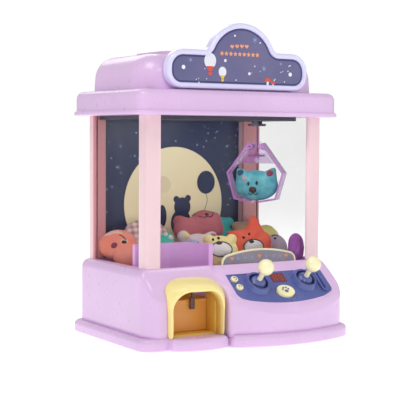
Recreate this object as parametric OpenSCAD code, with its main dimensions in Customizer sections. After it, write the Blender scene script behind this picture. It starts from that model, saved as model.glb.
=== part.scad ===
// Toy claw crane machine: a base casing with a prize outlet and a control console,
// a clear cabinet with soft toys, and a motor gantry that carries the claw under the roof.
// Origin at the middle of the footprint, on the surface it stands on. +X right, +Y back, +Z up.

/* [Base casing] */
// Half width of the casing above the foot
base_half = 140; // [138:0.5:141]
// Half width of the foot flange
foot_half = 148; // [146:0.5:149]
// Height of the foot flange
foot_h = 16; // [14:0.5:18]
// Height of the casing deck
deck_z = 97; // [96:0.5:98]
// Thickness of the moulded casings
wall = 2.6; // [2:0.1:3]
// Radius of the curved front of the console, seen from above
console_r = 198.5; // [198.5:0.5:199]
// Tilt of the console face
console_tilt = 39.5; // [39:0.5:40]

/* [Prize outlet] */
// Clear width of the prize opening
prize_w = 62; // [58:1:62]
// Top of the prize opening
prize_top = 71; // [68:1:71]
// Width of the moulded frame around the opening
prize_frame_w = 74; // [72:1:76]

/* [Controls] */
// Diameter of a joystick ball
ball_d = 20.5; // [16:0.5:22]
// Distance from the console face to the centre of the ball
ball_reach = 29.6; // [28:0.2:32]
// Width of the oval start button
start_w = 26; // [24:0.5:26]

/* [Cabinet] */
// Width of a front corner post
post_w = 20.6; // [18:0.2:21]
// Depth of a front corner post
post_d = 21; // [18:0.5:22]
// Level of the top of the windows
cage_top = 282; // [280:1:284]
// Thickness of a window
glazing = 1.5; // [1:0.1:2]
// Top of the barrier around the chute
barrier_top = 123; // [118:1:126]

/* [Roof] */
// Half width of the roof lip
lip_half = 150; // [149:0.5:150]
// Height of the roof rim
rim_h = 31; // [29:1:32]
// Height of the dome above the rim
dome_h = 44; // [42:1:46]
// Overall height, to the top of the sign
overall_h = 397; // [394:1:398]

/* [Claw] */
// Largest radius of the closed claw
claw_r = 39.7; // [39.4:0.1:40]
// Width of a jaw
jaw_w = 16; // [14:0.5:17]
// Thickness of a jaw
jaw_t = 2.6; // [2:0.1:3]
// Radius of the winch drum
drum_r = 9.2; // [8.8:0.1:9.2]

/* [Hidden] */
$fn = 64;

lilac = [0.84, 0.72, 0.92];
pale_pink = [0.95, 0.80, 0.84];
lavender = [0.76, 0.73, 0.96];
orchid = [0.76, 0.52, 0.84];
pale_yellow = [0.98, 0.92, 0.60];
cream = [0.98, 0.95, 0.80];
navy = [0.25, 0.30, 0.60];
night = [0.16, 0.22, 0.45];
slate = [0.22, 0.24, 0.30];
metal = [0.75, 0.76, 0.78];

// A small gap between pieces that are fitted together
gap = 0.3;
// Radial clearance of a pin that turns in a hole
pin_gap = 0.05;
// How far the rubber feet hold the casing off the ground
lift = 1.2;
far = 400;

// ---- shared shapes ----

function on_arc(c, r, a) = c + r * [cos(a), sin(a)];
// Points along an arc about c from angle a0 to a1, with its ends or without them
function arc(c, r, a0, a1, n) = [for (k = [0 : n]) on_arc(c, r, a0 + (a1 - a0) * k / n)];
function inner_arc(c, r, a0, a1, n) =
    [for (k = [1 : n - 1]) on_arc(c, r, a0 + (a1 - a0) * k / n)];

// Cuts what is outside the corner arc of radius r at c, from angle a0 round to a1
module corner_cut(c, r, a0, a1) {
    mid = (a0 + a1) / 2;
    difference() {
        polygon([c, c + 2 * r * [cos(a0), sin(a0)], c + 3 * r * [cos(mid), sin(mid)],
            c + 2 * r * [cos(a1), sin(a1)]]);
        translate(c) circle(r = r);
    }
}

// Rectangle with rounded corners, radius rf at low y and rb at high y
module rounded_rect(x0, x1, y0, y1, rf, rb) {
    difference() {
        translate([x0, y0]) square([x1 - x0, y1 - y0]);
        corner_cut([x0 + rf, y0 + rf], rf, 180, 270);
        corner_cut([x1 - rf, y0 + rf], rf, 270, 360);
        corner_cut([x1 - rb, y1 - rb], rb, 0, 90);
        corner_cut([x0 + rb, y1 - rb], rb, 90, 180);
    }
}

module slab(z0, z1) {
    translate([0, 0, z0]) linear_extrude(z1 - z0) children();
}

module box(x0, x1, y0, y1, z0, z1) {
    translate([x0, y0, z0]) cube([x1 - x0, y1 - y0, z1 - z0]);
}

// Extrudes a y, z outline from x0 to x1
module along_x(x0, x1) {
    translate([x0, 0, 0]) rotate([90, 0, 90]) linear_extrude(x1 - x0) children();
}

// Extrudes an x, z outline from y0 to y1
module along_y(y0, y1) {
    translate([0, y1, 0]) rotate([90, 0, 0]) linear_extrude(y1 - y0) children();
}

// Round rod along x, between x0 and x1, on the line y, z
module rod_x(x0, x1, y, z, r) {
    translate([x0, y, z]) rotate([0, 90, 0]) cylinder(r = r, h = x1 - x0);
}

// Round rod along y, between y0 and y1, on the line x, z
module rod_y(y0, y1, x, z, r) {
    translate([x, y0, z]) rotate([-90, 0, 0]) cylinder(r = r, h = y1 - y0);
}

// ---- plan of the casing ----

left_front_y = -75;
left_corner = 20;
back_y = 110;
back_corner = 12;
seam_x = -36;
arc_x = 52;
arc_y = 84;
console_corner_right = 25;
console_corner_left = 8;

function fillet_at(x, r, big) = [x, arc_y - sqrt(pow(big - r, 2) - pow(x - arc_x, 2))];
function bearing(p) = atan2(p[1] - arc_y, p[0] - arc_x);

// The bulge of the console: a wide arc with a rounded corner at each end
module console_plan(side, left, big, r_right, r_left) {
    right = fillet_at(side - r_right, r_right, big);
    other = fillet_at(left + r_left, r_left, big);
    polygon(concat([[side, 0]],
        arc(right, r_right, 0, bearing(right), 10),
        inner_arc([arc_x, arc_y], big, bearing(right), bearing(other), 40),
        arc(other, r_left, bearing(other), -180, 8),
        [[left, 0]]));
}

module main_plan(half, front, back, rf, rb) {
    rounded_rect(-half, half, front, back, rf, rb);
}

module casing_plan(i) {
    main_plan(base_half - i, left_front_y + i, back_y - i, left_corner - i, back_corner - i);
    console_plan(base_half - i, seam_x + i, console_r - i, console_corner_right - i,
        console_corner_left - i);
}

prize_bulge = [-68, -20];
prize_bulge_r = 79.5;
prize_seam = [-112, -38.5];

module foot_plan() {
    main_plan(foot_half, left_front_y - 3, 120.5, 20, 18);
    console_plan(foot_half, seam_x + 1.5, console_r + 6, 25, 8);
    a0 = -90 - asin((prize_bulge[0] - prize_seam[0]) / prize_bulge_r);
    a1 = -90 + asin((prize_seam[1] - prize_bulge[0]) / prize_bulge_r);
    polygon(concat([[prize_seam[0], -60]], arc(prize_bulge, prize_bulge_r, a0, a1, 20),
        [[prize_seam[1], -60]]));
}

// ---- the casing's solid form, drawn inside by i ----

console_at = [0, -65.5, 85];
bend_z = 65;
slope_run = 18.6;
slope_rise = 32;
slope_a = atan2(slope_rise, slope_run);

module console_frame() {
    translate(console_at) rotate([console_tilt, 0, 0]) children();
}

module above_console(i) {
    console_frame() translate([-far / 2, -far / 2, -i]) cube([far, far, far / 2]);
}

module above_slope(i) {
    translate([-far / 2, left_front_y, bend_z]) rotate([slope_a, 0, 0])
        translate([0, -far / 4, -i]) cube([far, far / 2, far / 2]);
}

module casing_block(i, low) {
    difference() {
        slab(low, deck_z - i) main_plan(base_half - i, left_front_y + i, back_y - i,
            left_corner - i, back_corner - i);
        above_slope(i);
    }
    difference() {
        slab(low, deck_z - i) intersection() {
            casing_plan(i);
            translate([seam_x + i, -130]) square([base_half - i - seam_x - i, 260]);
        }
        above_console(i);
    }
}

// ---- console items, as x and v up the slope ----

stick_x = [13.2, 85.8];
stick_v = -18.2;
start_at = [47.5, -34.5];
small_at = [[-15.8, -8], [-14.8, -21.6]];
small_d = 9.5;
display_x = [38.5, 60.5];
display_v = [-17.5, -2];
coin_from = [110.8, -8.5];
coin_to = [109.8, -34];
panel_arc = [50, 176];
panel_arc_r = 228;
panel_t = 2.4;
pivot_w = -6;
dome_r = 14;
housing_r = 17.2;
housing_low = -19;
collar_r = 18.5;
collar_h = 5.5;
collar_mouth_r = 12.8;
start_h = 3;
start_oval = 0.75;

module panel_outline(i) {
    r = panel_arc_r - i;
    polygon(concat(
        [[-24.3 + i, 1.5 - i], [117 - i, 1.5 - i], [122 - i, -3]],
        arc([112, -31], 10 - i, 0, -62, 8),
        arc(panel_arc, r, -76.3, -105.6, 30),
        arc([-12.3, -30], 12 - i, -108, -180, 8)));
}

module coin_capsule(r) {
    dir = coin_to - coin_from;
    lean = atan2(dir[1], dir[0]);
    polygon(concat(arc(coin_from, r, lean + 90, lean + 270, 10),
        arc(coin_to, r, lean - 90, lean + 90, 10)));
}

module start_outline(grow) {
    polygon([for (a = [0:6:354]) [(start_w / 2 + grow) * cos(a),
        (start_w * start_oval / 2 + grow) * sin(a)]]);
}

module at_stick(k) {
    console_frame() translate([stick_x[k], stick_v, 0]) children();
}

module console_holes(clear) {
    for (x = stick_x) translate([x, stick_v]) circle(r = housing_r + clear);
    translate(start_at) start_outline(0.4);
    for (p = small_at) translate(p) circle(r = small_d / 2 + 0.3);
    translate([display_x[0], display_v[0]])
        square([display_x[1] - display_x[0], display_v[1] - display_v[0]]);
    coin_capsule(3 + clear);
}

// ---- base ----

chamber_x = 126;
chamber_front = -50;
chamber_back = 96.5;
bay_x = [-110, -44];
prize_x = -77;
battery_x = 57;
battery_z = [22, 58];
door_axis = [113.4, 64];
door_barrel_r = 2.8;

module base_shell() {
    color(lilac) difference() {
        union() {
            casing_block(0, lift);
            slab(lift, foot_h) foot_plan();
            for (s = [-1, 1]) box(s * 43.25 - 2.75, s * 43.25 + 2.75, back_y - 1, 117, 60, 68);
        }
        casing_block(wall, -1);
        box(-chamber_x, chamber_x, chamber_front, chamber_back, 60, deck_z + 1);
        box(bay_x[0] - 0.5, bay_x[1] + 0.5, -100, -60, foot_h, 73);
        console_frame() slab(-panel_t, 20) panel_outline(0);
        console_frame() slab(-12, 0) panel_outline(5);
        console_frame() slab(-12, 0) console_holes(0.5);
        box(-battery_x, battery_x, back_y - 4, back_y + 1, battery_z[0], battery_z[1]);
        rod_x(-60, 60, door_axis[0], door_axis[1], 1.5 + pin_gap);
    }
}

module base_bottom() {
    color(lilac) slab(lift, lift + 2.2) casing_plan(wall + gap);
}

foot_at = [[-116, 92], [116, 92], [-116, -48], [116, -76]];

module rubber_feet() {
    color("dimgray") for (p = foot_at) translate([p[0], p[1], 0]) cylinder(r = 9, h = lift);
}

tray_z = 84;
hole_x = [-108, -46];
hole_y = [-48, -10];
skirt_z = 58;
flap_axis = [-54.6, 56];

module chamber_deck() {
    g = chamber_x - gap;
    color(lilac) difference() {
        box(-g, g, chamber_front + gap, chamber_back - gap, tray_z - 2.4, deck_z - 1);
        box(-g + 2.2, g - 2.2, chamber_front + gap + 2.2, chamber_back - gap - 2.2, tray_z,
            deck_z);
        box(hole_x[0], hole_x[1], hole_y[0], hole_y[1], tray_z - 10, deck_z);
    }
    color(lilac) difference() {
        box(bay_x[0], bay_x[1], hole_y[0] - 1.6, hole_y[1] + 2, skirt_z, tray_z - 2.4);
        box(hole_x[0], hole_x[1], hole_y[0] - 3, hole_y[1], skirt_z - 1, tray_z);
    }
}

barrier_left = -123;
barrier_right = -32;
barrier_back = -6;
barrier_r = 41;
barrier_t = 2.4;

module barrier_plan(t) {
    c = [barrier_right - barrier_r, barrier_back - barrier_r];
    translate([barrier_left, barrier_back - t]) square([c[0] - barrier_left, t]);
    intersection() {
        translate(c) difference() {
            circle(r = barrier_r, $fn = 120);
            circle(r = barrier_r - t, $fn = 120);
        }
        translate(c) square(barrier_r + 1);
    }
}

module chute_barrier() {
    color(orchid) {
        slab(tray_z, barrier_top) barrier_plan(barrier_t);
        slab(tray_z, barrier_top)
            translate([barrier_left, barrier_back - 6]) square([3, 6]);
        slab(tray_z, barrier_top)
            translate([barrier_right - 6, barrier_back - barrier_r - 0.5]) square([6, 3]);
    }
}

module bay_side() {
    polygon([[-74.6, foot_h], [-8, foot_h], [-8, skirt_z - gap], [-52, skirt_z - gap],
        [-52, 70], [-58, 70], [-74.6, 60]]);
}

module prize_bay() {
    color("gold") difference() {
        along_x(bay_x[0], bay_x[1]) bay_side();
        along_x(bay_x[0] + 2, bay_x[1] - 2) polygon([[-80, foot_h + 2], [-40, foot_h + 2],
            [-10, 34], [-10, 90], [-80, 90]]);
        rod_x(bay_x[0] + 0.8, bay_x[1] - 0.8, flap_axis[0], flap_axis[1], 1 + pin_gap);
    }
}

// The flap closes the way out of the chute and is pushed inwards from the front
module prize_flap() {
    y = flap_axis[0];
    z = flap_axis[1];
    x = [bay_x[0] + 2.6, bay_x[1] - 2.6];
    color("orange") {
        box(x[0], x[1], y - 0.9, y + 0.9, foot_h + 2.6, z);
        rod_x(x[0], x[1], y, z, 1.7);
        rod_x(bay_x[0] + 0.9, bay_x[1] - 0.9, y, z, 1);
    }
}

frame_x = [prize_x - prize_frame_w / 2 - 1, prize_x + prize_frame_w / 2 - 1];
open_x = [prize_x - prize_w / 2, prize_x + prize_w / 2];
hood_back = -63;
hood_top = 89;
hood_slope = 0.42;

module prize_outline() {
    rounded_rect(frame_x[0], frame_x[1], foot_h, hood_top, 0.5, 13);
}

module prize_opening_outline() {
    rounded_rect(open_x[0], open_x[1], foot_h - 1, prize_top, 0.5, 21);
}

module prize_door_frame() {
    color(pale_yellow) difference() {
        intersection() {
            along_y(-100, hood_back) prize_outline();
            translate([prize_bulge[0], prize_bulge[1], 0])
                cylinder(r = prize_bulge_r - 3, h = far, $fn = 120);
        }
        translate([-far / 2, hood_back, hood_top]) rotate([atan(hood_slope), 0, 0])
            translate([0, -far, 0]) cube([far, far, far]);
        along_y(-101, -50) prize_opening_outline();
        casing_block(-0.1, 0);
        box(-far / 2, 0, -74.9, 0, 0, 62);
    }
}

sensor_x = -68.6;

module prize_sensor() {
    color("dimgray") {
        box(sensor_x - 1.2, sensor_x + 1.2, -59.4, -57.4, 60, 72);
        box(sensor_x - 3, sensor_x + 3, -60, -57, 45.5, 60);
        box(sensor_x - 5.5, sensor_x + 5.5, -60, -57, 72, 73.6);
    }
}

// ---- console ----

module console_panel() {
    color(navy) console_frame() difference() {
        slab(-panel_t, 0) panel_outline(0.2);
        translate([0, 0, -5]) linear_extrude(10) console_holes(0.2);
    }
}

module joystick_collars() {
    color(navy) for (k = [0, 1]) at_stick(k) difference() {
        union() {
            translate([0, 0, housing_low]) cylinder(r = housing_r, h = -housing_low);
            cylinder(r1 = collar_r, r2 = collar_mouth_r + 2.6, h = collar_h);
        }
        translate([0, 0, housing_low + 2]) cylinder(r = dome_r + 0.4, h = -housing_low - 1);
        cylinder(r = collar_mouth_r, h = 2 * collar_h);
        rod_x(0.7 - housing_r, housing_r - 0.7, 0, pivot_w, 1.5 + pin_gap);
    }
}

module display_window() {
    c = 0.2;
    color("darkred") console_frame() box(display_x[0] + c, display_x[1] - c,
        display_v[0] + c, display_v[1] - c, -4, 0.3);
}

module control_board() {
    color("seagreen") console_frame() {
        box(-20, 116, -38, -2, -27, -25.4);
        box(36, 64, -19, -1, -25.4, -14);
        for (p = small_at) box(p[0] - 3, p[0] + 3, p[1] - 3, p[1] + 3, -25.4, -8.4);
        box(start_at[0] - 4, start_at[0] + 4, start_at[1] - 3, start_at[1] + 4, -25.4, -15.4);
    }
}

module coin_slot_bezel() {
    color(navy) console_frame() difference() {
        union() {
            slab(-8, 0) coin_capsule(3);
            slab(0, 2) coin_capsule(4.8);
        }
        translate([0, 0, -9]) linear_extrude(20) coin_capsule(1.1);
    }
}

cell_r = 7.2;
cell_z = [31, 49];

module battery_box() {
    color(slate) difference() {
        box(-56, 56, 84, 107, battery_z[0] + 0.3, battery_z[1] - 0.3);
        box(-54, 54, 86, 108, battery_z[0] + 1.6, battery_z[1] - 1.6);
    }
}

module battery_cells() {
    color("goldenrod") for (z = cell_z, x = [-52.5, 2]) {
        rod_x(x, x + 49, 95, z, cell_r);
        rod_x(x + 49, x + 50.5, 95, z, 2.7);
    }
}

// ---- cabinet ----

post_x = 130;
// the front posts are angle sections: a front flange and a side web
post_flange = 4.2;
post_web = 6.8;
post_front = -54;
back_post_x = 112.7;
duct_x = 102.5;
back_post_y = [85, 101];

module front_post(s) {
    color(pale_pink) slab(deck_z, cage_top) mirror([s < 0 ? 1 : 0, 0]) difference() {
        rounded_rect(post_x - post_w, post_x, post_front, post_front + post_d, 4, 1.5);
        translate([post_x - post_w - 1, post_front + post_flange])
            square([post_w + 1 - post_web, post_d]);
        translate([chamber_x - 1.2, post_front + post_d - 4]) square([glazing + 0.6, 6]);
    }
}

// A back post, from x0 out to the corner: the right one is wider, as a duct for the wires
module back_post(s, x0) {
    color(pale_pink) slab(deck_z, cage_top) mirror([s < 0 ? 1 : 0, 0]) difference() {
        rounded_rect(x0, post_x, back_post_y[0], back_post_y[1], 1.5, 4);
        translate([chamber_x - 1.2, back_post_y[0] - 2]) square([glazing + 0.6, 6]);
    }
}

module pillar_front_left() { front_post(-1); }
module pillar_front_right() { front_post(1); }
module pillar_back_left() { back_post(-1, back_post_x); }
module pillar_back_right() { back_post(1, duct_x); }

module window_front() {
    color("lightcyan", 0.3) box(-(post_x - post_web - gap), post_x - post_web - gap,
        chamber_front + 0.6, chamber_front + 0.6 + glazing, deck_z + 0.2, cage_top - 0.2);
}

module side_window(s) {
    x = s < 0 ? -chamber_x - 0.3 : chamber_x + 0.3 - glazing;
    color("lightcyan", 0.3) box(x, x + glazing, post_front + post_d - 3,
        back_post_y[0] + 3, deck_z + 0.2, cage_top - 0.2);
}

module window_left() { side_window(-1); }
module window_right() { side_window(1); }

module back_panel() {
    color(night) box(-back_post_x + gap, duct_x - gap, chamber_back + 0.4,
        chamber_back + 2.4, deck_z + 0.2, cage_top - 0.2);
}

// ---- roof ----

roof_front = -71.4;
roof_back = 119.6;
rim_top = cage_top + rim_h;
lip_h = 5;
dome_half = 132.5;
dome_front = -47.5;
dome_back = 107;
dome_top = rim_top + dome_h;
shoulder = 28;

module rim_plan(i) {
    rounded_rect(-lip_half + i, lip_half - i, roof_front + i, roof_back - i,
        max(16 - i, 2), max(22 - i, 2));
}

module roof_rim() {
    color(lilac) difference() {
        union() {
            slab(cage_top, cage_top + lip_h) rim_plan(0);
            slab(cage_top + lip_h, rim_top - 8) rim_plan(3);
            slab(rim_top - 8, rim_top - 3) rim_plan(5);
            slab(rim_top - 3, rim_top) rim_plan(9);
        }
        slab(cage_top + 2.5, rim_top - wall) rim_plan(12);
        box(-119, 119, -44, 90, cage_top - 1, cage_top + 3);
        box(-122, 122, -40, 98, rim_top - 5, rim_top + 1);
    }
}

module dome_block(i) {
    top = dome_top - i;
    intersection() {
        slab(rim_top, top) rounded_rect(-dome_half + i, dome_half - i, dome_front + i,
            dome_back - i, 22 - i, 26 - i);
        along_y(dome_front - 1, dome_back + 1) rounded_rect(-dome_half + i, dome_half - i,
            rim_top - 40, top, 1, shoulder - i);
        along_x(-dome_half - 1, dome_half + 1) rounded_rect(dome_front + i, dome_back - i,
            rim_top - 40, top, 1, shoulder - i);
    }
}

hatch_axis = [78, dome_top + 3.3];

module roof_dome() {
    color(lilac) difference() {
        union() {
            difference() {
                dome_block(0);
                difference() {
                    dome_block(wall);
                    translate([0, 0, rim_top - 1]) cube([far, far, 1], center = true);
                }
                box(-64, 64, 2, 66, dome_top - 10, dome_top + 1);
                box(-dome_half + 8, dome_half - 8, dome_front + 8, dome_back - 8,
                    rim_top - 1, rim_top + wall + 1);
            }
            for (s = [-1, 1]) box(s * 69.25 - 2.75, s * 69.25 + 2.75, hatch_axis[0] - 4,
                hatch_axis[0] + 4, dome_top - 2, dome_top + 7);
        }
        rod_x(-100, 100, hatch_axis[0], hatch_axis[1], 1.5 + pin_gap);
    }
}

sign_front = -60;
sign_back = -48;
sign_low = 315;
lobe_top = 362;
cloud_c = [3, 345];
lobe_r = 23;
neck_r = 10;

// The cloud-shaped board: a wide low body with a round crown and softly filled necks
module cloud(i) {
    crown_r = overall_h - cloud_c[1];
    rise = lobe_top + neck_r - cloud_c[1];
    side = sqrt(pow(crown_r + neck_r, 2) - pow(rise, 2));
    lean = atan2(rise, side);
    left = -105;
    right = 103;
    polygon(concat(
        arc([right - 20, sign_low + 20], 20 - i, -90, 0, 10),
        arc([right - lobe_r, lobe_top - lobe_r], lobe_r - i, 0, 90, 10),
        arc(cloud_c + [side, rise], neck_r + i, -90, -180 + lean, 8),
        inner_arc(cloud_c, crown_r - i, lean, 180 - lean, 36),
        arc(cloud_c + [-side, rise], neck_r + i, -lean, -90, 8),
        arc([left + lobe_r, lobe_top - lobe_r], lobe_r - i, 90, 180, 10),
        arc([left + 20, sign_low + 20], 20 - i, 180, 270, 10)));
}

module sign_frame() {
    color(lavender) difference() {
        along_y(sign_front, sign_back) cloud(0);
        along_y(sign_front - 1, sign_front + 4) cloud(7);
    }
}

module sign_panel() {
    color(navy) along_y(sign_front + 2, sign_front + 3.9) cloud(7.3);
}

ceiling_t = 5;

module ceiling_plate() {
    color(slate) difference() {
        union() {
            box(-107.5, 95, chamber_front + 3, -31.9, cage_top - ceiling_t, cage_top);
            box(-122.8, 106, -32, 84, cage_top - ceiling_t, cage_top);
            box(-107.5, duct_x - gap, 83.9, 94, cage_top - ceiling_t, cage_top);
        }
        box(-96, 96, -19, 64, cage_top - ceiling_t - 1, cage_top + 1);
    }
}

// ---- gantry ----

rail_y = [-38, 84];
rail_top = 296;

module gantry_rails() {
    color(metal) for (y = rail_y) {
        box(-120, 120, y - 2, y + 2, rail_top - 6, rail_top);
        for (x = [-117, 117]) box(x - 3, x + 3, y - 4, y + 4, cage_top + 2.5, rail_top - 6);
    }
}

claw_x = 76;
claw_y = 14.5;
claw_turn = -52;
beam_x = [claw_x - 26, claw_x + 22];
beam_z = [299, 308];
axle_x = claw_x - 33;
wheel_r = 7;
axle_z = rail_top + wheel_r + 0.1;

module bridge_frame() {
    color(slate) difference() {
        union() {
            for (x = beam_x) box(x, x + 6, -46, 92, beam_z[0], beam_z[1]);
            for (y = [-46, 88]) box(axle_x - 6, beam_x[1] + 6, y, y + 4, beam_z[0] - 1,
                beam_z[1]);
            box(beam_x[1] - 4, beam_x[1] + 6, -44, rail_y[0] + 3, rail_top + 0.3, beam_z[1]);
            box(beam_x[1] - 4, beam_x[1] + 6, rail_y[1] - 3, 90, rail_top + 0.3, beam_z[1]);
        }
        rod_y(-50, 100, axle_x, axle_z, 2 + pin_gap);
    }
}

module drive_axle() {
    color(metal) {
        rod_y(-47, 93, axle_x, axle_z, 2);
        for (y = rail_y) rod_y(y - 2, y + 2, axle_x, axle_z, wheel_r);
    }
}

trolley_half = 18;
drum_x = claw_x - drum_r - 0.8;
drum_z = 324;
drum_axle_r = 2;

module trolley_frame() {
    x0 = beam_x[0] + 7;
    x1 = beam_x[1] - 1;
    y0 = claw_y - trolley_half;
    y1 = claw_y + trolley_half;
    color(slate) difference() {
        union() {
            box(x0, x1, y0, y1, 294, 297);
            box(x0, x0 + 2, y0, y1, 294, 311);
            box(x1 - 2, x1, y0, y1, 294, 311);
            box(beam_x[0], x0 + 2, y0, y1, beam_z[1] + gap, 311);
            box(x1 - 2, beam_x[1] + 6, y0, y1, beam_z[1] + gap, 311);
            for (y = [claw_y - 10.5, claw_y + 7.5]) box(x0, x0 + 22, y, y + 3, 296, 330);
            translate([claw_x, claw_y, 272]) cylinder(r = 7, h = 24);
            translate([claw_x, claw_y, 270.5]) cylinder(r = 12, h = 3);
        }
        translate([claw_x, claw_y, 260]) cylinder(r = 2, h = 60);
        rod_y(0, 30, drum_x, drum_z, drum_axle_r + pin_gap);
    }
}

module winch_motor() {
    color("silver") rod_y(claw_y + 10.6, claw_y + 34, drum_x, drum_z, 7.5);
}

module winch_drum() {
    color(cream) {
        rod_y(claw_y - 6, claw_y + 6, drum_x, drum_z, drum_r);
        for (y = [claw_y - 7.3, claw_y + 5.8]) rod_y(y, y + 1.5, drum_x, drum_z, drum_r + 3.5);
        rod_y(claw_y - 12, claw_y + 10.3, drum_x, drum_z, drum_axle_r);
    }
}

// ---- claw, drawn with its jaws along x and turned into place ----

hood_z = [221, 250];
jaw_pivot = [7.6, 243.5];
hood_neck = 237;
pivot_pin_r = 1.5;
claw_low = 168.5;

module at_claw() {
    translate([claw_x, claw_y, 0]) rotate([0, 0, claw_turn]) children();
}

module claw_hood() {
    low = hood_z[0];
    top = hood_z[1];
    color("mediumorchid") at_claw() {
        difference() {
            union() {
                along_y(-6.8, 6.8) polygon([[-24.6, low], [24.6, low], [13, hood_neck],
                    [-13, hood_neck]]);
                along_y(-4.8, 4.8) polygon([[-13, hood_neck - 1], [13, hood_neck - 1],
                    [6.3, 246], [5, top], [-5, top], [-6.3, 246]]);
            }
            along_y(-4.8, 4.8) polygon([[-21.6, low - 1], [21.6, low - 1], [11, hood_neck - 2],
                [-11, hood_neck - 2]]);
        }
        for (s = [-1, 1])
            rod_y(-8.2, 8.2, s * jaw_pivot[0], jaw_pivot[1], pivot_pin_r);
    }
}

module claw_actuator() {
    color("purple") at_claw() {
        translate([0, 0, 230]) cylinder(r = 3, h = hood_neck - 2.2 - 230);
        box(-11, 11, -2.5, 2.5, 230, 232.5);
        translate([0, 0, 226]) cylinder(r = 1.2, h = 5);
        translate([0, 0, 224.5]) sphere(r = 3.4);
    }
}

module hoist_string() {
    color("white") translate([claw_x, claw_y, hood_z[1]]) cylinder(r = 0.7,
        h = drum_z - hood_z[1]);
}

// One jaw, on the +x side: a bent strip from the pivot down to the foot
jaw_path = [[9, 247.5], [claw_r - jaw_t / 2, 208], [28.5, 174], [5, claw_low + jaw_t / 2]];

function unit(v) = v / norm(v);
function side(v) = [-v[1], v[0]];
function run(p, k) = unit(p[min(k + 1, len(p) - 1)] - p[min(k, len(p) - 2)]);
function before(p, k) = unit(p[max(k, 1)] - p[max(k - 1, 0)]);
function mitre(p, k) =
    let (a = side(before(p, k)), b = side(run(p, k)), m = unit(a + b)) m / (m * a);
function strip(p, t) = concat(
    [for (k = [0 : len(p) - 1]) p[k] + mitre(p, k) * t / 2],
    [for (k = [len(p) - 1 : -1 : 0]) p[k] - mitre(p, k) * t / 2]);

module jaw() {
    difference() {
        union() {
            along_y(-jaw_w / 2, jaw_w / 2) polygon(strip(jaw_path, jaw_t));
            for (v = [-1, 1]) {
                rod_y(v * 6.5 - 1.5, v * 6.5 + 1.5, jaw_pivot[0], jaw_pivot[1], 3.6);
                along_y(v * 6.5 - 1.5, v * 6.5 + 1.5) polygon([[7.2, 247.1], [9.4, 247.5],
                    [16.6, 238], [14.6, 237.6], [7.6, 239.9]]);
            }
        }
        rod_y(-10, 10, jaw_pivot[0], jaw_pivot[1], pivot_pin_r + pin_gap);
    }
}

module jaw_right() {
    color("orchid") at_claw() jaw();
}

module jaw_left() {
    color("orchid") at_claw() mirror([1, 0, 0]) jaw();
}

// ---- soft toys ----

// A plump round cushion of radius r and thickness t, its axis along z
module pillow(r, t) {
    rotate_extrude($fn = 48) {
        translate([0, -t / 2]) square([r - t / 2, t]);
        intersection() {
            translate([r - t / 2, 0]) circle(r = t / 2);
            translate([r - t / 2, -t]) square(2 * t);
        }
    }
}

// Leans by tilt from lying flat, then turns by yaw
module toy(c, r, t, tilt, yaw) {
    translate(c) rotate([0, 0, yaw]) rotate([tilt, 0, 0]) pillow(r, t);
}

module plush_coral() { color("salmon") toy([-100.5, 56.5, 114], 27, 22, 62, -62); }
module plush_pink_bear() { color("palevioletred") toy([15, 64, 132], 31, 24, 62, 0); }
module plush_pastel_bear() { color("lightblue") toy([-17, 23, 111], 26, 22, 72, -8); }
module plush_cream_bear() { color("khaki") toy([-1, -25, 110.5], 25, 20, 78, -20); }
module plush_orange_cat() { color("tomato") toy([55, 0, 115], 30, 22, 72, -12); }
module plush_grey_bird() { color("thistle") toy([94.5, 7, 108.5], 16, 14, 78, -24); }

small_toys = [
    [[-59, 70, 124.5], 26, 20, 68, -10],
    [[-63, 34, 112], 18, 17, 60, -20],
    [[64, 76, 129], 20, 14, 66, 10],
    [[103.5, 32, 118.5], 19.5, 14, 62, 20],
    [[109.5, -17.8, 107], 18, 12, 82, 70],
    [[92, 58, 120], 26, 20, 56, 10]];

module plush_small_toys() {
    color("mediumseagreen") for (t = small_toys) toy(t[0], t[1], t[2], t[3], t[4]);
}

module plush_cat() {
    color("cadetblue") at_claw() for (s = [-1, 1])
        translate([s * 8.5, 0, 194.8]) rotate([90, 0, 0]) pillow(22, 20);
}

// ---- arch plate inside the front window ----

arch_x = [-18, 97];
arch_top = 114;
arch_r = 200;

module arch_plan(i) {
    intersection() {
        rounded_rect(arch_x[0] + i, arch_x[1] - i, tray_z + i, arch_top - i, 0.5, 9 - i / 2);
        translate([(arch_x[0] + arch_x[1]) / 2, arch_top - arch_r]) circle(r = arch_r - i,
            $fn = 180);
    }
}

module arch_plate_frame() {
    color(pale_yellow) difference() {
        along_y(-46.8, -43.8) arch_plan(0);
        along_y(-47.8, -45.2) arch_plan(3.5);
    }
}

module arch_plate_insert() {
    color(navy) along_y(-46.4, -45.3) arch_plan(3.7);
}

screw_at = [[-126, 60], [126, 60], [-126, -20], [126, -20], [0, 92], [-30, -60]];

module casing_screws() {
    color(metal) for (p = screw_at) translate([p[0], p[1], 0.3]) {
        difference() {
            cylinder(r = 3, h = lift - 0.3);
            box(-2.4, 2.4, -0.4, 0.4, -1, 0.4);
        }
    }
}

// ---- controls that move ----

module gimbal(k) {
    color(navy) at_stick(k) difference() {
        union() {
            intersection() {
                translate([0, 0, pivot_w]) sphere(r = dome_r);
                box(-20, 20, -20, 20, pivot_w - 4, 20);
            }
            rod_x(1 - housing_r, housing_r - 1, 0, pivot_w, 1.5);
        }
        intersection() {
            translate([0, 0, pivot_w]) sphere(r = dome_r - 2.4);
            box(-20, 20, -20, 20, pivot_w - 10, 20);
        }
        box(-7.5, 7.5, -3.9, 3.9, pivot_w, 20);
        rod_y(-20, 20, 0, pivot_w, 1.5 + pin_gap);
    }
}

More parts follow.
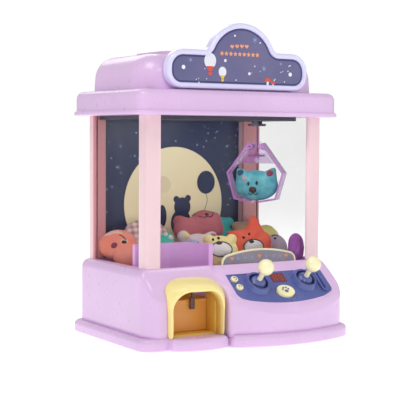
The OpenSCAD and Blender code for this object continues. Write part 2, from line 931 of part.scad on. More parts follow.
module stick(k) {
    color(cream) at_stick(k) {
        translate([0, 0, pivot_w - 8]) cylinder(r = 3.2, h = ball_reach + 8 - pivot_w);
        translate([0, 0, ball_reach]) sphere(r = ball_d / 2);
        rod_y(-11.5, 11.5, 0, pivot_w, 1.5);
    }
}

module gimbal_left() { gimbal(0); }
module gimbal_right() { gimbal(1); }
module stick_left() { stick(0); }
module stick_right() { stick(1); }

module start_button() {
    color(cream) console_frame() translate([start_at[0], start_at[1], 0]) {
        translate([0, 0, -8]) linear_extrude(start_h + 7.2) start_outline(0);
        translate([0, 0, -8]) linear_extrude(start_h + 8) start_outline(-0.8);
        translate([0, 0, -12]) cylinder(r = 3, h = 5);
    }
}

module small_button(k) {
    color(cream) console_frame() translate([small_at[k][0], small_at[k][1], 0]) {
        translate([0, 0, -6.5]) cylinder(r = small_d / 2, h = 8);
        translate([0, 0, 1.5]) cylinder(r1 = small_d / 2, r2 = small_d / 2 - 0.8, h = 0.7);
    }
}

module button_upper() { small_button(0); }
module button_lower() { small_button(1); }

module roof_hatch() {
    low = dome_top + gap;
    y = hatch_axis[0];
    z = hatch_axis[1];
    color(lilac) {
        slab(low, low + 5) rounded_rect(-62, 62, -12, y, 14, 0.5);
        slab(low, low + 5) rounded_rect(-80, 80, -12, 70, 14, 10);
        rod_x(-66, 66, y, z, 3);
        rod_x(-71.5, 71.5, y, z, 1.5);
    }
}

module battery_door() {
    y = door_axis[0];
    z = door_axis[1];
    color(lilac) {
        box(-62, 62, back_y + 0.5, back_y + 2.6, 19, 58.3);
        box(-39, 39, back_y + 0.5, back_y + 2.6, 58, z);
        rod_x(-40, 40, y, z, door_barrel_r);
        rod_x(-45.8, 45.8, y, z, 1.5);
    }
}

base_shell();
base_bottom();
rubber_feet();
chamber_deck();
chute_barrier();
prize_bay();
prize_flap();
prize_door_frame();
prize_sensor();
console_panel();
joystick_collars();
display_window();
control_board();
coin_slot_bezel();
battery_box();
battery_cells();
pillar_front_left();
pillar_front_right();
pillar_back_left();
pillar_back_right();
window_front();
window_left();
window_right();
back_panel();
roof_rim();
roof_dome();
sign_frame();
sign_panel();
ceiling_plate();
gantry_rails();
arch_plate_frame();
arch_plate_insert();
casing_screws();
plush_coral();
plush_pink_bear();
plush_pastel_bear();
plush_cream_bear();
plush_orange_cat();
plush_grey_bird();
plush_small_toys();
bridge_frame();
drive_axle();
trolley_frame();
winch_motor();
winch_drum();
claw_hood();
claw_actuator();
hoist_string();
plush_cat();
jaw_left();
jaw_right();
gimbal_left();
gimbal_right();
stick_left();
stick_right();
start_button();
button_upper();
button_lower();
roof_hatch();
battery_door();
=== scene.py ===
"""Looks of the toy claw crane machine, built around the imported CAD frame."""

import math
import random

import bmesh
import bpy
from mathutils import Matrix, Vector
from mathutils.bvhtree import BVHTree


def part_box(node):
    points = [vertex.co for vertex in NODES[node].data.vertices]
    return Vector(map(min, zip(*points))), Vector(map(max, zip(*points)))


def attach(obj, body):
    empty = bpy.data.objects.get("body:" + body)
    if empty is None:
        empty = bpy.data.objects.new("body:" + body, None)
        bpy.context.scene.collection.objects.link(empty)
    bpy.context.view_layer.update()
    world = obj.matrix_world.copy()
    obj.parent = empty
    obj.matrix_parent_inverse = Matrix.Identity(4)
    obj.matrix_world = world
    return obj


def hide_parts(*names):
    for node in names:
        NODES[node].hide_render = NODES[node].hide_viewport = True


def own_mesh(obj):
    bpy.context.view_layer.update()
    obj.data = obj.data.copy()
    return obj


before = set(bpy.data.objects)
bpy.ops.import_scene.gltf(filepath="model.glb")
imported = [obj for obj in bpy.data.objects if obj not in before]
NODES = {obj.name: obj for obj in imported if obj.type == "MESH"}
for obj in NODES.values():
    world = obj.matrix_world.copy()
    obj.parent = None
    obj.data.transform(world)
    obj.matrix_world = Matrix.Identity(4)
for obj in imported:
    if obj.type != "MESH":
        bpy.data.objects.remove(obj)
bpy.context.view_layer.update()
MM = 0.001


# ---- small helpers

def srgb(red, green, blue):
    """A colour given as 0 to 255 screen values, as linear light."""
    def linear(value):
        value /= 255.0
        return value / 12.92 if value <= 0.04045 else ((value + 0.055) / 1.055) ** 2.4
    return (linear(red), linear(green), linear(blue), 1.0)


def lerp(a, b, t):
    return a + (b - a) * t


def smooth(t):
    t = min(max(t, 0.0), 1.0)
    return t * t * (3 - 2 * t)


def arc(centre, radius, start, end, steps):
    """Points on an arc, angles in degrees, both ends included."""
    points = []
    for k in range(steps + 1):
        angle = math.radians(lerp(start, end, k / steps))
        points.append((centre[0] + radius * math.cos(angle),
                       centre[1] + radius * math.sin(angle)))
    return points


def make_object(name, vertices, faces, material=None, sharp=35):
    """A mesh object from points in millimetres."""
    mesh = bpy.data.meshes.new(name)
    mesh.from_pydata([(x * MM, y * MM, z * MM) for x, y, z in vertices], [], faces)
    tidy_mesh(mesh)
    obj = bpy.data.objects.new(name, mesh)
    bpy.context.scene.collection.objects.link(obj)
    mesh.shade_smooth()
    mesh.set_sharp_from_angle(angle=math.radians(sharp))
    if material:
        mesh.materials.append(material)
    return obj


def tidy_mesh(mesh, merge=2e-6):
    work = bmesh.new()
    work.from_mesh(mesh)
    bmesh.ops.remove_doubles(work, verts=work.verts, dist=merge)
    bmesh.ops.recalc_face_normals(work, faces=work.faces)
    work.to_mesh(mesh)
    work.free()


def loft(loops, close_profile=False, cap_start=False, cap_end=False):
    """Vertices and faces of a skin over closed loops of equal length."""
    count = len(loops[0])
    vertices = [point for loop in loops for point in loop]
    faces = []
    rows = len(loops)
    last = rows if close_profile else rows - 1
    for row in range(last):
        low = row * count
        high = ((row + 1) % rows) * count
        for k in range(count):
            nxt = (k + 1) % count
            faces.append((low + k, low + nxt, high + nxt, high + k))
    if cap_start:
        faces.append(tuple(range(count - 1, -1, -1)))
    if cap_end:
        faces.append(tuple(range((rows - 1) * count, rows * count)))
    return vertices, faces


def lofted(name, loops, material, **ends):
    """A mesh object skinned over loops."""
    vertices, faces = loft(loops, **ends)
    return make_object(name, vertices, faces, material)


def place(obj, body, slot, *nodes):
    """Rides obj on a body and hides the CAD nodes it stands for; slot is not used."""
    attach(obj, body)
    if nodes:
        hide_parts(*nodes)
    return obj


# ---- materials

class Shader:
    """Short calls for building a material's node tree."""

    def __init__(self, name):
        self.material = bpy.data.materials.new(name)
        self.material.use_nodes = True
        self.tree = self.material.node_tree
        self.bsdf = self.tree.nodes["Principled BSDF"]
        self.coords = self.tree.nodes.new("ShaderNodeTexCoord").outputs["Object"]

    def add(self, kind, **inputs):
        node = self.tree.nodes.new(kind)
        for key, value in inputs.items():
            self.put(node.inputs[key.replace("_", " ")], value)
        return node

    def put(self, socket, value):
        if isinstance(value, bpy.types.NodeSocket):
            self.tree.links.new(value, socket)
        else:
            socket.default_value = value

    def noise(self, scale, detail=3.0, roughness=0.5, distortion=0.0):
        node = self.add("ShaderNodeTexNoise", Vector=self.coords, Scale=scale,
                        Detail=detail, Roughness=roughness, Distortion=distortion)
        return node.outputs["Fac"]

    def remap(self, value, low, high, to_low, to_high):
        node = self.add("ShaderNodeMapRange", Value=value, From_Min=low, From_Max=high,
                        To_Min=to_low, To_Max=to_high)
        return node.outputs["Result"]

    def mix(self, factor, first, second):
        node = self.tree.nodes.new("ShaderNodeMix")
        node.data_type = "RGBA"
        self.put(node.inputs[0], factor)
        self.put(node.inputs[6], first)
        self.put(node.inputs[7], second)
        return node.outputs[2]

    def math(self, operation, first, second=0.0):
        node = self.tree.nodes.new("ShaderNodeMath")
        node.operation = operation
        self.put(node.inputs[0], first)
        self.put(node.inputs[1], second)
        return node.outputs[0]

    def axis(self, which):
        node = self.add("ShaderNodeSeparateXYZ", Vector=self.coords)
        return node.outputs[which]

    def bump(self, height, strength, distance, below=None):
        node = self.add("ShaderNodeBump", Height=height, Strength=strength, Distance=distance)
        if below is not None:
            self.tree.links.new(below, node.inputs["Normal"])
        return node.outputs["Normal"]

    def set(self, **values):
        for key, value in values.items():
            self.put(self.bsdf.inputs[key.replace("_", " ")], value)
        return self


def scaled(colour, factor):
    return tuple(min(channel * factor, 1.0) for channel in colour[:3]) + (1.0,)


def moulded(name, colour, rough=0.34, grain=0.25, coat=0.25, painted_light_ramp=None):
    """Injection-moulded plastic: faint cloudiness, fine grain, and sharp edges painted paler as a
    painted highlight.

    painted_light_ramp is (second colour, axis, start, end), for a colour that changes along the
    object, used for painted shade and painted highlights.
    """
    s = Shader(name)
    cloud = s.remap(s.noise(9.0, 4.0, 0.6), 0.3, 0.7, 0.0, 1.0)
    base = s.mix(cloud, scaled(colour, 0.95), scaled(colour, 1.05))
    # Painted highlight: sharp convex edges are painted paler, up to a third of the way toward 1.22
    # times the colour.
    sharp = s.tree.nodes.new("ShaderNodeNewGeometry").outputs["Pointiness"]
    rim = s.remap(sharp, 0.515, 0.60, 0.0, 0.35)
    base = s.mix(rim, base, scaled(colour, 1.22))
    # Painted light: a ramp along one object axis toward a second colour, for painted shade and
    # painted highlights.
    if painted_light_ramp:
        second, which, start, end = painted_light_ramp
        base = s.mix(s.remap(s.axis(which), start, end, 0.0, 1.0), base, second)
    scuff = s.noise(120.0, 5.0, 0.7)
    rough_map = s.remap(scuff, 0.3, 0.75, rough - 0.05, rough + 0.08)
    fine = s.bump(s.noise(2600.0, 2.0), grain * 0.22, 0.00008)
    wavy = s.bump(s.noise(26.0, 2.0), 0.10, 0.0005, fine)
    s.set(Base_Color=base, Roughness=rough_map, Normal=wavy, Coat_Weight=coat,
          Coat_Roughness=0.18, IOR=1.48)
    return s.material


def printed(name, colour, second, rough=0.45):
    """Ink on a card or film, with a faint halftone and mottling."""
    s = Shader(name)
    cloud = s.remap(s.noise(14.0, 5.0, 0.65), 0.35, 0.7, 0.0, 1.0)
    base = s.mix(cloud, colour, second)
    dots = s.add("ShaderNodeTexVoronoi", Vector=s.coords, Scale=1500.0).outputs["Distance"]
    base = s.mix(s.remap(dots, 0.1, 0.6, 0.0, 0.10), base, scaled(colour, 1.5))
    s.set(Base_Color=base, Roughness=s.remap(s.noise(200.0), 0.3, 0.7, rough - 0.06,
                                             rough + 0.06),
          Normal=s.bump(s.noise(1800.0, 2.0), 0.06, 0.00006), Coat_Weight=0.3,
          Coat_Roughness=0.22)
    return s.material


def plush_cloth(name, colour, second, patches=9.0, pile=0.9):
    """Short pile: clumps of fibre, soft shading variation and a sheen."""
    s = Shader(name)
    broad = s.remap(s.noise(patches * 6, 4.0, 0.6), 0.32, 0.68, 0.0, 1.0)
    clump = s.noise(700.0, 6.0, 0.75, 0.6)
    base = s.mix(broad, colour, second)
    base = s.mix(s.remap(clump, 0.35, 0.7, 0.0, 0.45), base, scaled(colour, 0.72))
    fibre = s.bump(clump, pile, 0.0007)
    fluff = s.bump(s.noise(2200.0, 3.0, 0.8), pile * 0.7, 0.0003, fibre)
    s.set(Base_Color=base, Roughness=0.92, Normal=fluff, Sheen_Weight=0.45,
          Sheen_Roughness=0.45, Specular_IOR_Level=0.2)
    s.bsdf.inputs["Sheen Tint"].default_value = scaled(colour, 1.3)
    return s.material


def gingham_cloth(name, pale, dark):
    s = Shader(name)
    stripes = []
    for which in ("X", "Y"):
        wave = s.math("SINE", s.math("MULTIPLY", s.axis(which), 2 * math.pi / 0.0085))
        stripes.append(s.remap(wave, -0.15, 0.15, 0.0, 0.5))
    base = s.mix(s.math("ADD", stripes[0], stripes[1]), pale, dark)
    weave = s.noise(1500.0, 4.0, 0.7)
    base = s.mix(s.remap(weave, 0.35, 0.7, 0.0, 0.3), base, scaled(dark, 0.8))
    s.set(Base_Color=base, Roughness=0.88, Normal=s.bump(weave, 0.7, 0.0004),
          Sheen_Weight=0.3, Specular_IOR_Level=0.2)
    return s.material


def metal(name, colour, rough=0.32):
    s = Shader(name)
    streak = s.noise(400.0, 6.0, 0.7, 0.8)
    s.set(Base_Color=s.mix(s.remap(streak, 0.3, 0.7, 0.0, 0.35), colour, scaled(colour, 0.6)),
          Metallic=1.0, Roughness=s.remap(streak, 0.3, 0.7, rough - 0.08, rough + 0.1),
          Normal=s.bump(streak, 0.08, 0.00008))
    return s.material


def clear_sheet(name, tint, alpha, rough=0.05):
    """A thin clear sheet: mostly see-through, with gloss and a breath of haze."""
    s = Shader(name)
    haze = s.noise(18.0, 4.0, 0.6)
    s.set(Base_Color=s.mix(haze, tint, scaled(tint, 0.96)),
          Roughness=s.remap(haze, 0.3, 0.7, rough * 0.6, rough * 1.6),
          Alpha=s.remap(haze, 0.3, 0.7, alpha * 0.85, alpha * 1.15), IOR=1.49)
    return s.material


def translucent(name, colour, alpha, rough=0.16):
    """Tinted see-through plastic, as on the claw."""
    s = Shader(name)
    cloud = s.remap(s.noise(60.0, 4.0, 0.6), 0.3, 0.7, 0.0, 1.0)
    # Painted highlight: sharp edges of the see-through plastic are painted paler, toward 1.5 times
    # the colour.
    sharp = s.tree.nodes.new("ShaderNodeNewGeometry").outputs["Pointiness"]
    rim = s.remap(sharp, 0.51, 0.58, 0.0, 0.6)
    base = s.mix(cloud, scaled(colour, 0.88), scaled(colour, 1.1))
    base = s.mix(rim, base, scaled(colour, 1.5))
    s.set(Base_Color=base, Roughness=s.remap(s.noise(140.0), 0.3, 0.7, rough - 0.04, rough + 0.08),
          Alpha=alpha, Coat_Weight=0.6, Coat_Roughness=0.08, IOR=1.5,
          Normal=s.bump(s.noise(90.0, 3.0), 0.12, 0.0004))
    return s.material


def ink(name, first, second):
    return printed(f"{name}_ink", srgb(*first), srgb(*second))


LILAC = moulded("lilac_plastic", srgb(224, 190, 230), rough=0.30, grain=0.06, coat=0.5)
ROSE = moulded("rose_plastic", srgb(240, 208, 214), rough=0.36)
# Painted shade: a slightly darker copy of the rose, whose faces nearer the chamber (y below 87.5
# mm) turn deep dusky rose as shade inside the chamber.
ROSE_SHADED = moulded("shaded_rose_plastic", srgb(240, 200, 208),
                      painted_light_ramp=(srgb(206, 142, 144), "Y", 0.0890, 0.0875))
LAVENDER = moulded("lavender_plastic", srgb(222, 218, 252), rough=0.24, grain=0.06, coat=0.6)
ORCHID = moulded("orchid_plastic", srgb(236, 180, 244), rough=0.30, grain=0.1)
YELLOW = moulded("yellow_plastic", srgb(250, 234, 156), rough=0.34)
PALE_YELLOW = moulded("pale_yellow_plastic", srgb(255, 250, 204), rough=0.34)
# Painted shade: the prize hood's inner faces darken to deep ochre further back, between y -94 and
# -78 mm.
YELLOW_INSIDE = moulded("yellow_inside", srgb(250, 232, 150),
                        painted_light_ramp=(srgb(222, 176, 72), "Y", -0.094, -0.078))
# Painted shade: the prize bay darkens to a deeper ochre further back, between y -90 and -62 mm.
OCHRE = moulded("ochre_plastic", srgb(246, 220, 112), rough=0.40,
                painted_light_ramp=(srgb(228, 176, 70), "Y", -0.090, -0.062))
TAN = moulded("tan_plastic", srgb(232, 164, 78), rough=0.40)
CREAM = moulded("cream_plastic", srgb(250, 243, 196), rough=0.26, coat=0.5)
NAVY = moulded("navy_plastic", srgb(80, 92, 160), rough=0.30, coat=0.5)
NAVY_DARK = moulded("dark_navy_plastic", srgb(52, 62, 118), rough=0.36)
INK_NAVY = ink("navy", (92, 92, 136), (108, 102, 142))
INK_MAUVE = ink("mauve", (140, 134, 150), (166, 158, 164))
INK_LINE = ink("outline", (58, 60, 116), (50, 52, 104))
INK_NIGHT = ink("night", (26, 38, 72), (32, 48, 92))
INK_MOON = ink("moon", (250, 234, 184), (255, 244, 200))
INK_DUST = ink("dust", (104, 120, 168), (92, 108, 156))
INK_GLOW = ink("glow", (240, 226, 184), (232, 216, 172))
INK_WHITE = ink("white", (238, 238, 246), (226, 228, 240))
INK_PALE = ink("pale_blue", (150, 164, 206), (132, 146, 196))
INK_RED = ink("red", (222, 84, 60), (210, 70, 52))
INK_YELLOW = ink("yellow", (244, 206, 60), (236, 190, 50))
INK_ORANGE = ink("orange", (236, 150, 106), (240, 166, 120))
SMOKED = moulded("smoked_plastic", srgb(84, 52, 34), rough=0.3, coat=0.5)
SLATE = moulded("slate_plastic", srgb(62, 64, 76), rough=0.45, grain=0.6, coat=0.05)
BLACK = moulded("black_rubber", srgb(44, 44, 48), rough=0.6, grain=0.8, coat=0.0)
RED_GLASS = moulded("red_window", srgb(112, 34, 36), rough=0.16, coat=0.9)
RED_LIT = moulded("red_segment", srgb(176, 40, 34), rough=0.3, coat=0.6)
BOARD = moulded("green_board", srgb(40, 104, 64), rough=0.42)
STEEL = metal("steel", srgb(190, 192, 198))
BRASS = metal("cell_foil", srgb(204, 168, 92), 0.38)
CLEAR = clear_sheet("clear_window", srgb(44, 54, 64), 0.05)
CLAW = translucent("claw_plastic", srgb(184, 124, 198), 0.72)
HOOD = translucent("hood_plastic", srgb(168, 108, 184), 0.19)
# Partly painted highlight: below 228.5 mm the lower knob is pale grey, a steel-like colour painted
# pale enough to stand for the knob's glint.
ACTUATOR = moulded("actuator_plastic", srgb(132, 30, 112), rough=0.22, coat=0.6,
                   painted_light_ramp=(srgb(226, 226, 232), "Z", 0.2300, 0.2285))
CORD = plush_cloth("cord_fibre", srgb(164, 134, 168), srgb(120, 92, 132), pile=0.5)


def dress(material, bevel, *names, angle=32, segments=2):
    """Gives CAD nodes their material and softened, evenly shaded edges."""
    for name in names:
        obj = NODES[name]
        obj.data.materials.clear()
        obj.data.materials.append(material)
        bpy.context.view_layer.objects.active = obj
        if obj.data.has_custom_normals:
            bpy.ops.mesh.customdata_custom_splitnormals_clear()
        obj.data.shade_smooth()
        weld = obj.modifiers.new("weld", "WELD")
        weld.merge_threshold = 1e-5
        if bevel:
            soft = obj.modifiers.new("bevel", "BEVEL")
            soft.width = bevel * MM
            soft.segments = segments
            soft.limit_method = "ANGLE"
            soft.angle_limit = math.radians(angle)
            soft.use_clamp_overlap = True
            even = obj.modifiers.new("even_normals", "WEIGHTED_NORMAL")
            even.keep_sharp = False


# ---- base casing

BASE_HALF = 140.0
FRONT_Y = -75.0
BACK_Y = 110.0
SEAM_X = -36.0
DECK_Z = 97.0
FOOT_Z = 16.0
LIFT = 1.2
ARC_C = (52.0, 84.0)
ARC_R = 198.5
CHAMBER = (-126.0, 126.0, -50.0, 96.5)
CLAW_TURN = -52.0
CASING_WALL = 2.4
CONSOLE_Y, CONSOLE_Z = -65.5, 85.0
CONSOLE_TILT = math.radians(39.5)
CONSOLE = (Matrix.Translation(Vector((0, CONSOLE_Y, CONSOLE_Z)) * MM)
           @ Matrix.Rotation(CONSOLE_TILT, 4, "X"))
PRIZE_HOLE_X, PRIZE_HOLE_Y, PRIZE_HOLE_TOP = (-110.4, -43.6), -62.5, 71.0
CELL_DOOR_HALF, CELL_DOOR_Z = 57.0, (22.0, 52.0)


def inside(x, y, outline):
    """Whether a point is inside a closed outline."""
    found = False
    for k, (ax, ay) in enumerate(outline):
        bx, by = outline[k - 1]
        if (ay > y) != (by > y) and x < ax + (bx - ax) * (y - ay) / (by - ay):
            found = not found
    return found


def console_panel_outline():
    """The navy panel, seen square on: x across, y up the slope."""
    points = [(-24.3, 1.5), (117, 1.5), (122, -3)]
    points += arc((112, -31), 10, 0, -62, 8)
    points += arc((50, 176), 228, -76.3, -105.6, 30)
    points += arc((-12.3, -30), 12, -108, -180, 8)
    return points


def bearing(point):
    return math.degrees(math.atan2(point[1] - ARC_C[1], point[0] - ARC_C[0]))


def fillet_at(x, radius, big):
    return (x, ARC_C[1] - math.sqrt((big - radius) ** 2 - (x - ARC_C[0]) ** 2))


def console_arc(side, left, big, r_right, r_left, steps=40):
    """The console's bulge from its left corner round to its right side."""
    right = fillet_at(side - r_right, r_right, big)
    other = fillet_at(left + r_left, r_left, big)
    points = arc(other, r_left, -180, bearing(other), 7)
    points += arc(ARC_C, big, bearing(other), bearing(right), steps)[1:-1]
    points += arc(right, r_right, bearing(right), 0, 10)
    return points


def densify(points, step):
    """Adds points so that no stretch of a closed outline is longer than step."""
    dense = []
    for k, point in enumerate(points):
        nxt = points[(k + 1) % len(points)]
        length = math.dist(point, nxt)
        pieces = max(1, math.ceil(length / step))
        for j in range(pieces):
            dense.append((lerp(point[0], nxt[0], j / pieces), lerp(point[1], nxt[1], j / pieces)))
    return dense


def inward(points):
    """Inward normals of a closed outline that runs anticlockwise."""
    normals = []
    count = len(points)
    for k in range(count):
        before = Vector(points[k]) - Vector(points[k - 1])
        after = Vector(points[(k + 1) % count]) - Vector(points[k])
        tangent = before.normalized() + after.normalized()
        normal = Vector((-tangent.y, tangent.x)).normalized()
        cos_half = max(0.55, abs(normal.dot(Vector((-after.y, after.x)).normalized())))
        normals.append(normal / cos_half)
    return normals


def casing_outline():
    corner = 20.0
    back = 12.0
    points = [(-BASE_HALF, BACK_Y - back)]
    points += arc((-BASE_HALF + corner, FRONT_Y + corner), corner, 180, 270, 10)
    points += [(-110.5, FRONT_Y), (-43.5, FRONT_Y)]
    points += arc((SEAM_X - 3, FRONT_Y - 3), 3, 90, 0, 4)
    points += console_arc(BASE_HALF, SEAM_X, ARC_R, 25, 8)
    points += arc((BASE_HALF - back, BACK_Y - back), back, 0, 90, 8)
    points += [(57.0, BACK_Y), (-57.0, BACK_Y)]
    points += arc((-BASE_HALF + back, BACK_Y - back), back, 90, 180, 8)[:-1]
    return densify(points, 5.0)


def casing_height(x, y):
    """Level of the casing's top at x, y: deck, left slope and console face."""
    slope = 65 + (y - FRONT_Y) * 32 / 18.6
    console = CONSOLE_Z + math.tan(CONSOLE_TILT) * (y - CONSOLE_Y) - 0.5
    face = lerp(slope, console, smooth((x + 43) / 8))
    gap = DECK_Z - face
    blend = 6.0
    if gap <= -blend:
        return DECK_Z
    if gap >= blend:
        return face
    mix = (gap + blend) / (2 * blend)
    return lerp(DECK_Z, face, mix) - blend * mix * (1 - mix)


def rim_target(point, index, spread):
    """Where the deck meets the chamber opening, across from an outline point."""
    x0, x1, y0, y1 = CHAMBER
    x = spread.get(index, point[0])
    return (min(max(x, x0), x1), min(max(point[1], y0), y1))


def front_spread(points):
    """Where the stretch round the seam meets the sill, so that no two lines cross."""
    first = next(k for k, p in enumerate(points) if p[1] < -74.9 and p[0] > -44)
    turn = next(k for k, p in enumerate(points) if p[1] < FRONT_Y - 3.1 and p[0] > SEAM_X - 1)
    last = next(k for k, p in enumerate(points) if p[1] < -95 and p[0] > -10)
    spread = {k: lerp(-43.5, -29.0, (k - first) / (turn - first)) for k in range(first, turn)}
    spread.update({k: lerp(-29.0, -10.0, (k - turn) / (last - turn))
                   for k in range(turn, last)})
    return spread


def build_base_casing():
    outline = casing_outline()
    normals = inward(outline)
    spread = front_spread(outline)
    loops = []
    walls = (13.0, 22.0, 38.0, 52.0)

    def edge_radius(point):
        return lerp(7.0, 11.0, smooth((point[1] + 75) / 40))

    for level in walls:
        loops.append([(p[0], p[1], min(level, casing_height(*p) - edge_radius(p) - 0.5))
                      for p in outline])
    for step in range(9):
        angle = math.radians(90 * step / 8)
        loop = []
        for p, n in zip(outline, normals):
            radius = edge_radius(p)
            inset = radius * (1 - math.cos(angle))
            x, y = p[0] + n.x * inset, p[1] + n.y * inset
            if step == 8:
                loop.append((x, y, casing_height(x, y)))
            else:
                loop.append((x, y, casing_height(x, y) - radius * (1 - math.sin(angle))))
        loops.append(loop)
    start = loops[-1]
    for step in range(1, 19):
        t = step / 18
        loop = []
        for k, p in enumerate(start):
            q = rim_target(outline[k], k, spread)
            x, y = lerp(p[0], q[0], t), lerp(p[1], q[1], t)
            loop.append((x, y, casing_height(x, y)))
        loops.append(loop)
    loops.append([(p[0], p[1], p[2] - 9) for p in loops[-1]])
    vertices, faces = loft(loops)

    panel = console_panel_outline()

    def under_panel(point):
        x, v, _ = CONSOLE.inverted() @ (Vector(point) * MM) / MM
        return point[2] < DECK_Z + 1 and inside(x, v, panel) and edge_distance(x, v, panel) > 6

    def open_face(face):
        centre = [sum(vertices[k][axis] for k in face) / len(face) for axis in range(3)]
        if under_panel(centre):
            return True
        x, y, z = centre
        prize = (PRIZE_HOLE_X[0] < x < PRIZE_HOLE_X[1] and y < PRIZE_HOLE_Y
                 and z < PRIZE_HOLE_TOP)
        cells = (abs(x) < CELL_DOOR_HALF and y > BACK_Y - 1
                 and CELL_DOOR_Z[0] < z < CELL_DOOR_Z[1])
        return prize or cells

    faces = [face for face in faces if not open_face(face)]
    shell = make_object("base_casing", vertices, faces, LILAC)
    thick = shell.modifiers.new("wall", "SOLIDIFY")
    thick.thickness = CASING_WALL * MM
    thick.offset = -1
    return shell


def foot_outline():
    bulge = (-68.0, -20.0)
    radius = 79.5
    low = -90 - math.degrees(math.asin(44.0 / radius))
    high = -90 + math.degrees(math.asin(29.5 / radius))
    points = arc((-128, -58), 20, 180, 270, 10)
    points += [(-113.2, -78.0), (-112.6, -79.4)]
    points += arc(bulge, radius, low, high, 20)
    points += [(-37.6, -92.4), (-36.4, -84.0), (-34.6, -86.5)]
    points += console_arc(148, -34.5, ARC_R + 6, 25, 8)[1:]
    points += arc((130, 102.5), 18, 0, 90, 8)
    points += arc((-130, 102.5), 18, 90, 180, 8)
    return densify(points, 6.0)


def build_foot():
    outline = foot_outline()
    normals = inward(outline)
    profile = [(1.2, LIFT), (0, LIFT + 1.2), (0, FOOT_Z - 6)]
    profile += arc((6, FOOT_Z - 6), 6, 180, 90, 6)[1:]
    loops = [[(p[0] + n.x * inset, p[1] + n.y * inset, z) for p, n in zip(outline, normals)]
             for inset, z in profile]
    return lofted("foot_flange", loops, LILAC, cap_start=True, cap_end=True)


# ---- roof

def rounded_loop(x0, x1, y0, y1, r_front, r_back, steps=9):
    """A rounded rectangle, anticlockwise, always with the same number of points."""
    points = arc((x0 + r_front, y0 + r_front), r_front, 180, 270, steps)
    points += arc((x1 - r_front, y0 + r_front), r_front, 270, 360, steps)
    points += arc((x1 - r_back, y1 - r_back), r_back, 0, 90, steps)
    points += arc((x0 + r_back, y1 - r_back), r_back, 90, 180, steps)
    return points


def rounded_rings(box, radii, profile):
    """Rounded rectangles, one for each (inset, level) of the profile."""
    x0, x1, y0, y1 = box
    loops = []
    for inset, z in profile:
        loop = rounded_loop(x0 + inset, x1 - inset, y0 + inset, y1 - inset,
                            max(radii[0] - inset, 2.0), max(radii[1] - inset, 2.0))
        loops.append([(x, y, z) for x, y in loop])
    return loops


ROOF_BOX = (-150.0, 150.0, -71.4, 119.6)
CAGE_TOP = 282.0
RIM_TOP = 313.0
DOME_BOX = (-132.5, 132.5, -47.5, 107.0)
DOME_TOP = 357.0
DOME_WALL = 2.6
SHOULDER = 28.0


def build_roof_rim():
    z = CAGE_TOP
    profile = [(30, z), (14, z), (1.2, z), (0.3, z + 0.5), (0, z + 1.4), (0, z + 3.6),
               (0.6, z + 4.8), (2.0, z + 5.4), (2.8, z + 6.2), (3.0, z + 8)]
    profile += arc((12.5, RIM_TOP - 9.5), 9.5, 180, 90, 7)
    profile += [(26, RIM_TOP), (26, RIM_TOP - 2.4), (13, RIM_TOP - 2.4), (7, RIM_TOP - 6),
                (5.4, RIM_TOP - 12), (5.4, z + 3), (30, z + 2.4)]
    loops = rounded_rings(ROOF_BOX, (16.0, 22.0), profile)
    return lofted("roof_rim_shell", loops, LILAC, close_profile=True)


def build_roof_dome():
    def skin(inward_by, down):
        rows = [(inward_by, RIM_TOP + 0.2), (inward_by + 0.3, RIM_TOP + 8)]
        radius = SHOULDER - inward_by
        top = DOME_TOP - down
        for step in range(0, 13):
            angle = math.radians(90 * step / 12)
            rows.append((inward_by + 1 + (radius - 1) * (1 - math.cos(angle)),
                         top - radius + radius * math.sin(angle)))
        return rows

    radii = (34.0, 36.0)
    outer = rounded_rings(DOME_BOX, radii, skin(0, 0))
    inner = rounded_rings(DOME_BOX, radii, skin(DOME_WALL, DOME_WALL))
    opening = rounded_loop(-64, 64, 2, 66, 6, 6)
    ring = [[(x, y, z) for x, y in opening] for z in (DOME_TOP, DOME_TOP - DOME_WALL)]
    return lofted("roof_dome_shell", outer + ring + inner[::-1], LILAC, close_profile=True)


# ---- sign

SIGN_FRONT = -60.0
SIGN_BACK = -48.0
SIGN_TOP = 397.0
SIGN_LOW = 315.0
LOBE_TOP = 362.0
CROWN = (3.0, 345.0)
NECK = 10.0


def cloud_outline(inset):
    """The sign's outline in x and z: a low body with a round crown."""
    crown = SIGN_TOP - CROWN[1]
    rise = LOBE_TOP + NECK - CROWN[1]
    side = math.sqrt((crown + NECK) ** 2 - rise ** 2)
    lean = math.degrees(math.atan2(rise, side))
    left, right, lobe, corner = -105.0, 103.0, 23.0, 20.0
    points = arc((right - corner, SIGN_LOW + corner), corner - inset, -90, 0, 10)
    points += arc((right - lobe, LOBE_TOP - lobe), lobe - inset, 0, 90, 10)
    points += arc((CROWN[0] + side, CROWN[1] + rise), NECK + inset, -90, -180 + lean, 8)
    points += arc(CROWN, crown - inset, lean, 180 - lean, 40)[1:-1]
    points += arc((CROWN[0] - side, CROWN[1] + rise), NECK + inset, -lean, -90, 8)
    points += arc((left + lobe, LOBE_TOP - lobe), lobe - inset, 90, 180, 10)
    points += arc((left + corner, SIGN_LOW + corner), corner - inset, 180, 270, 10)
    return points


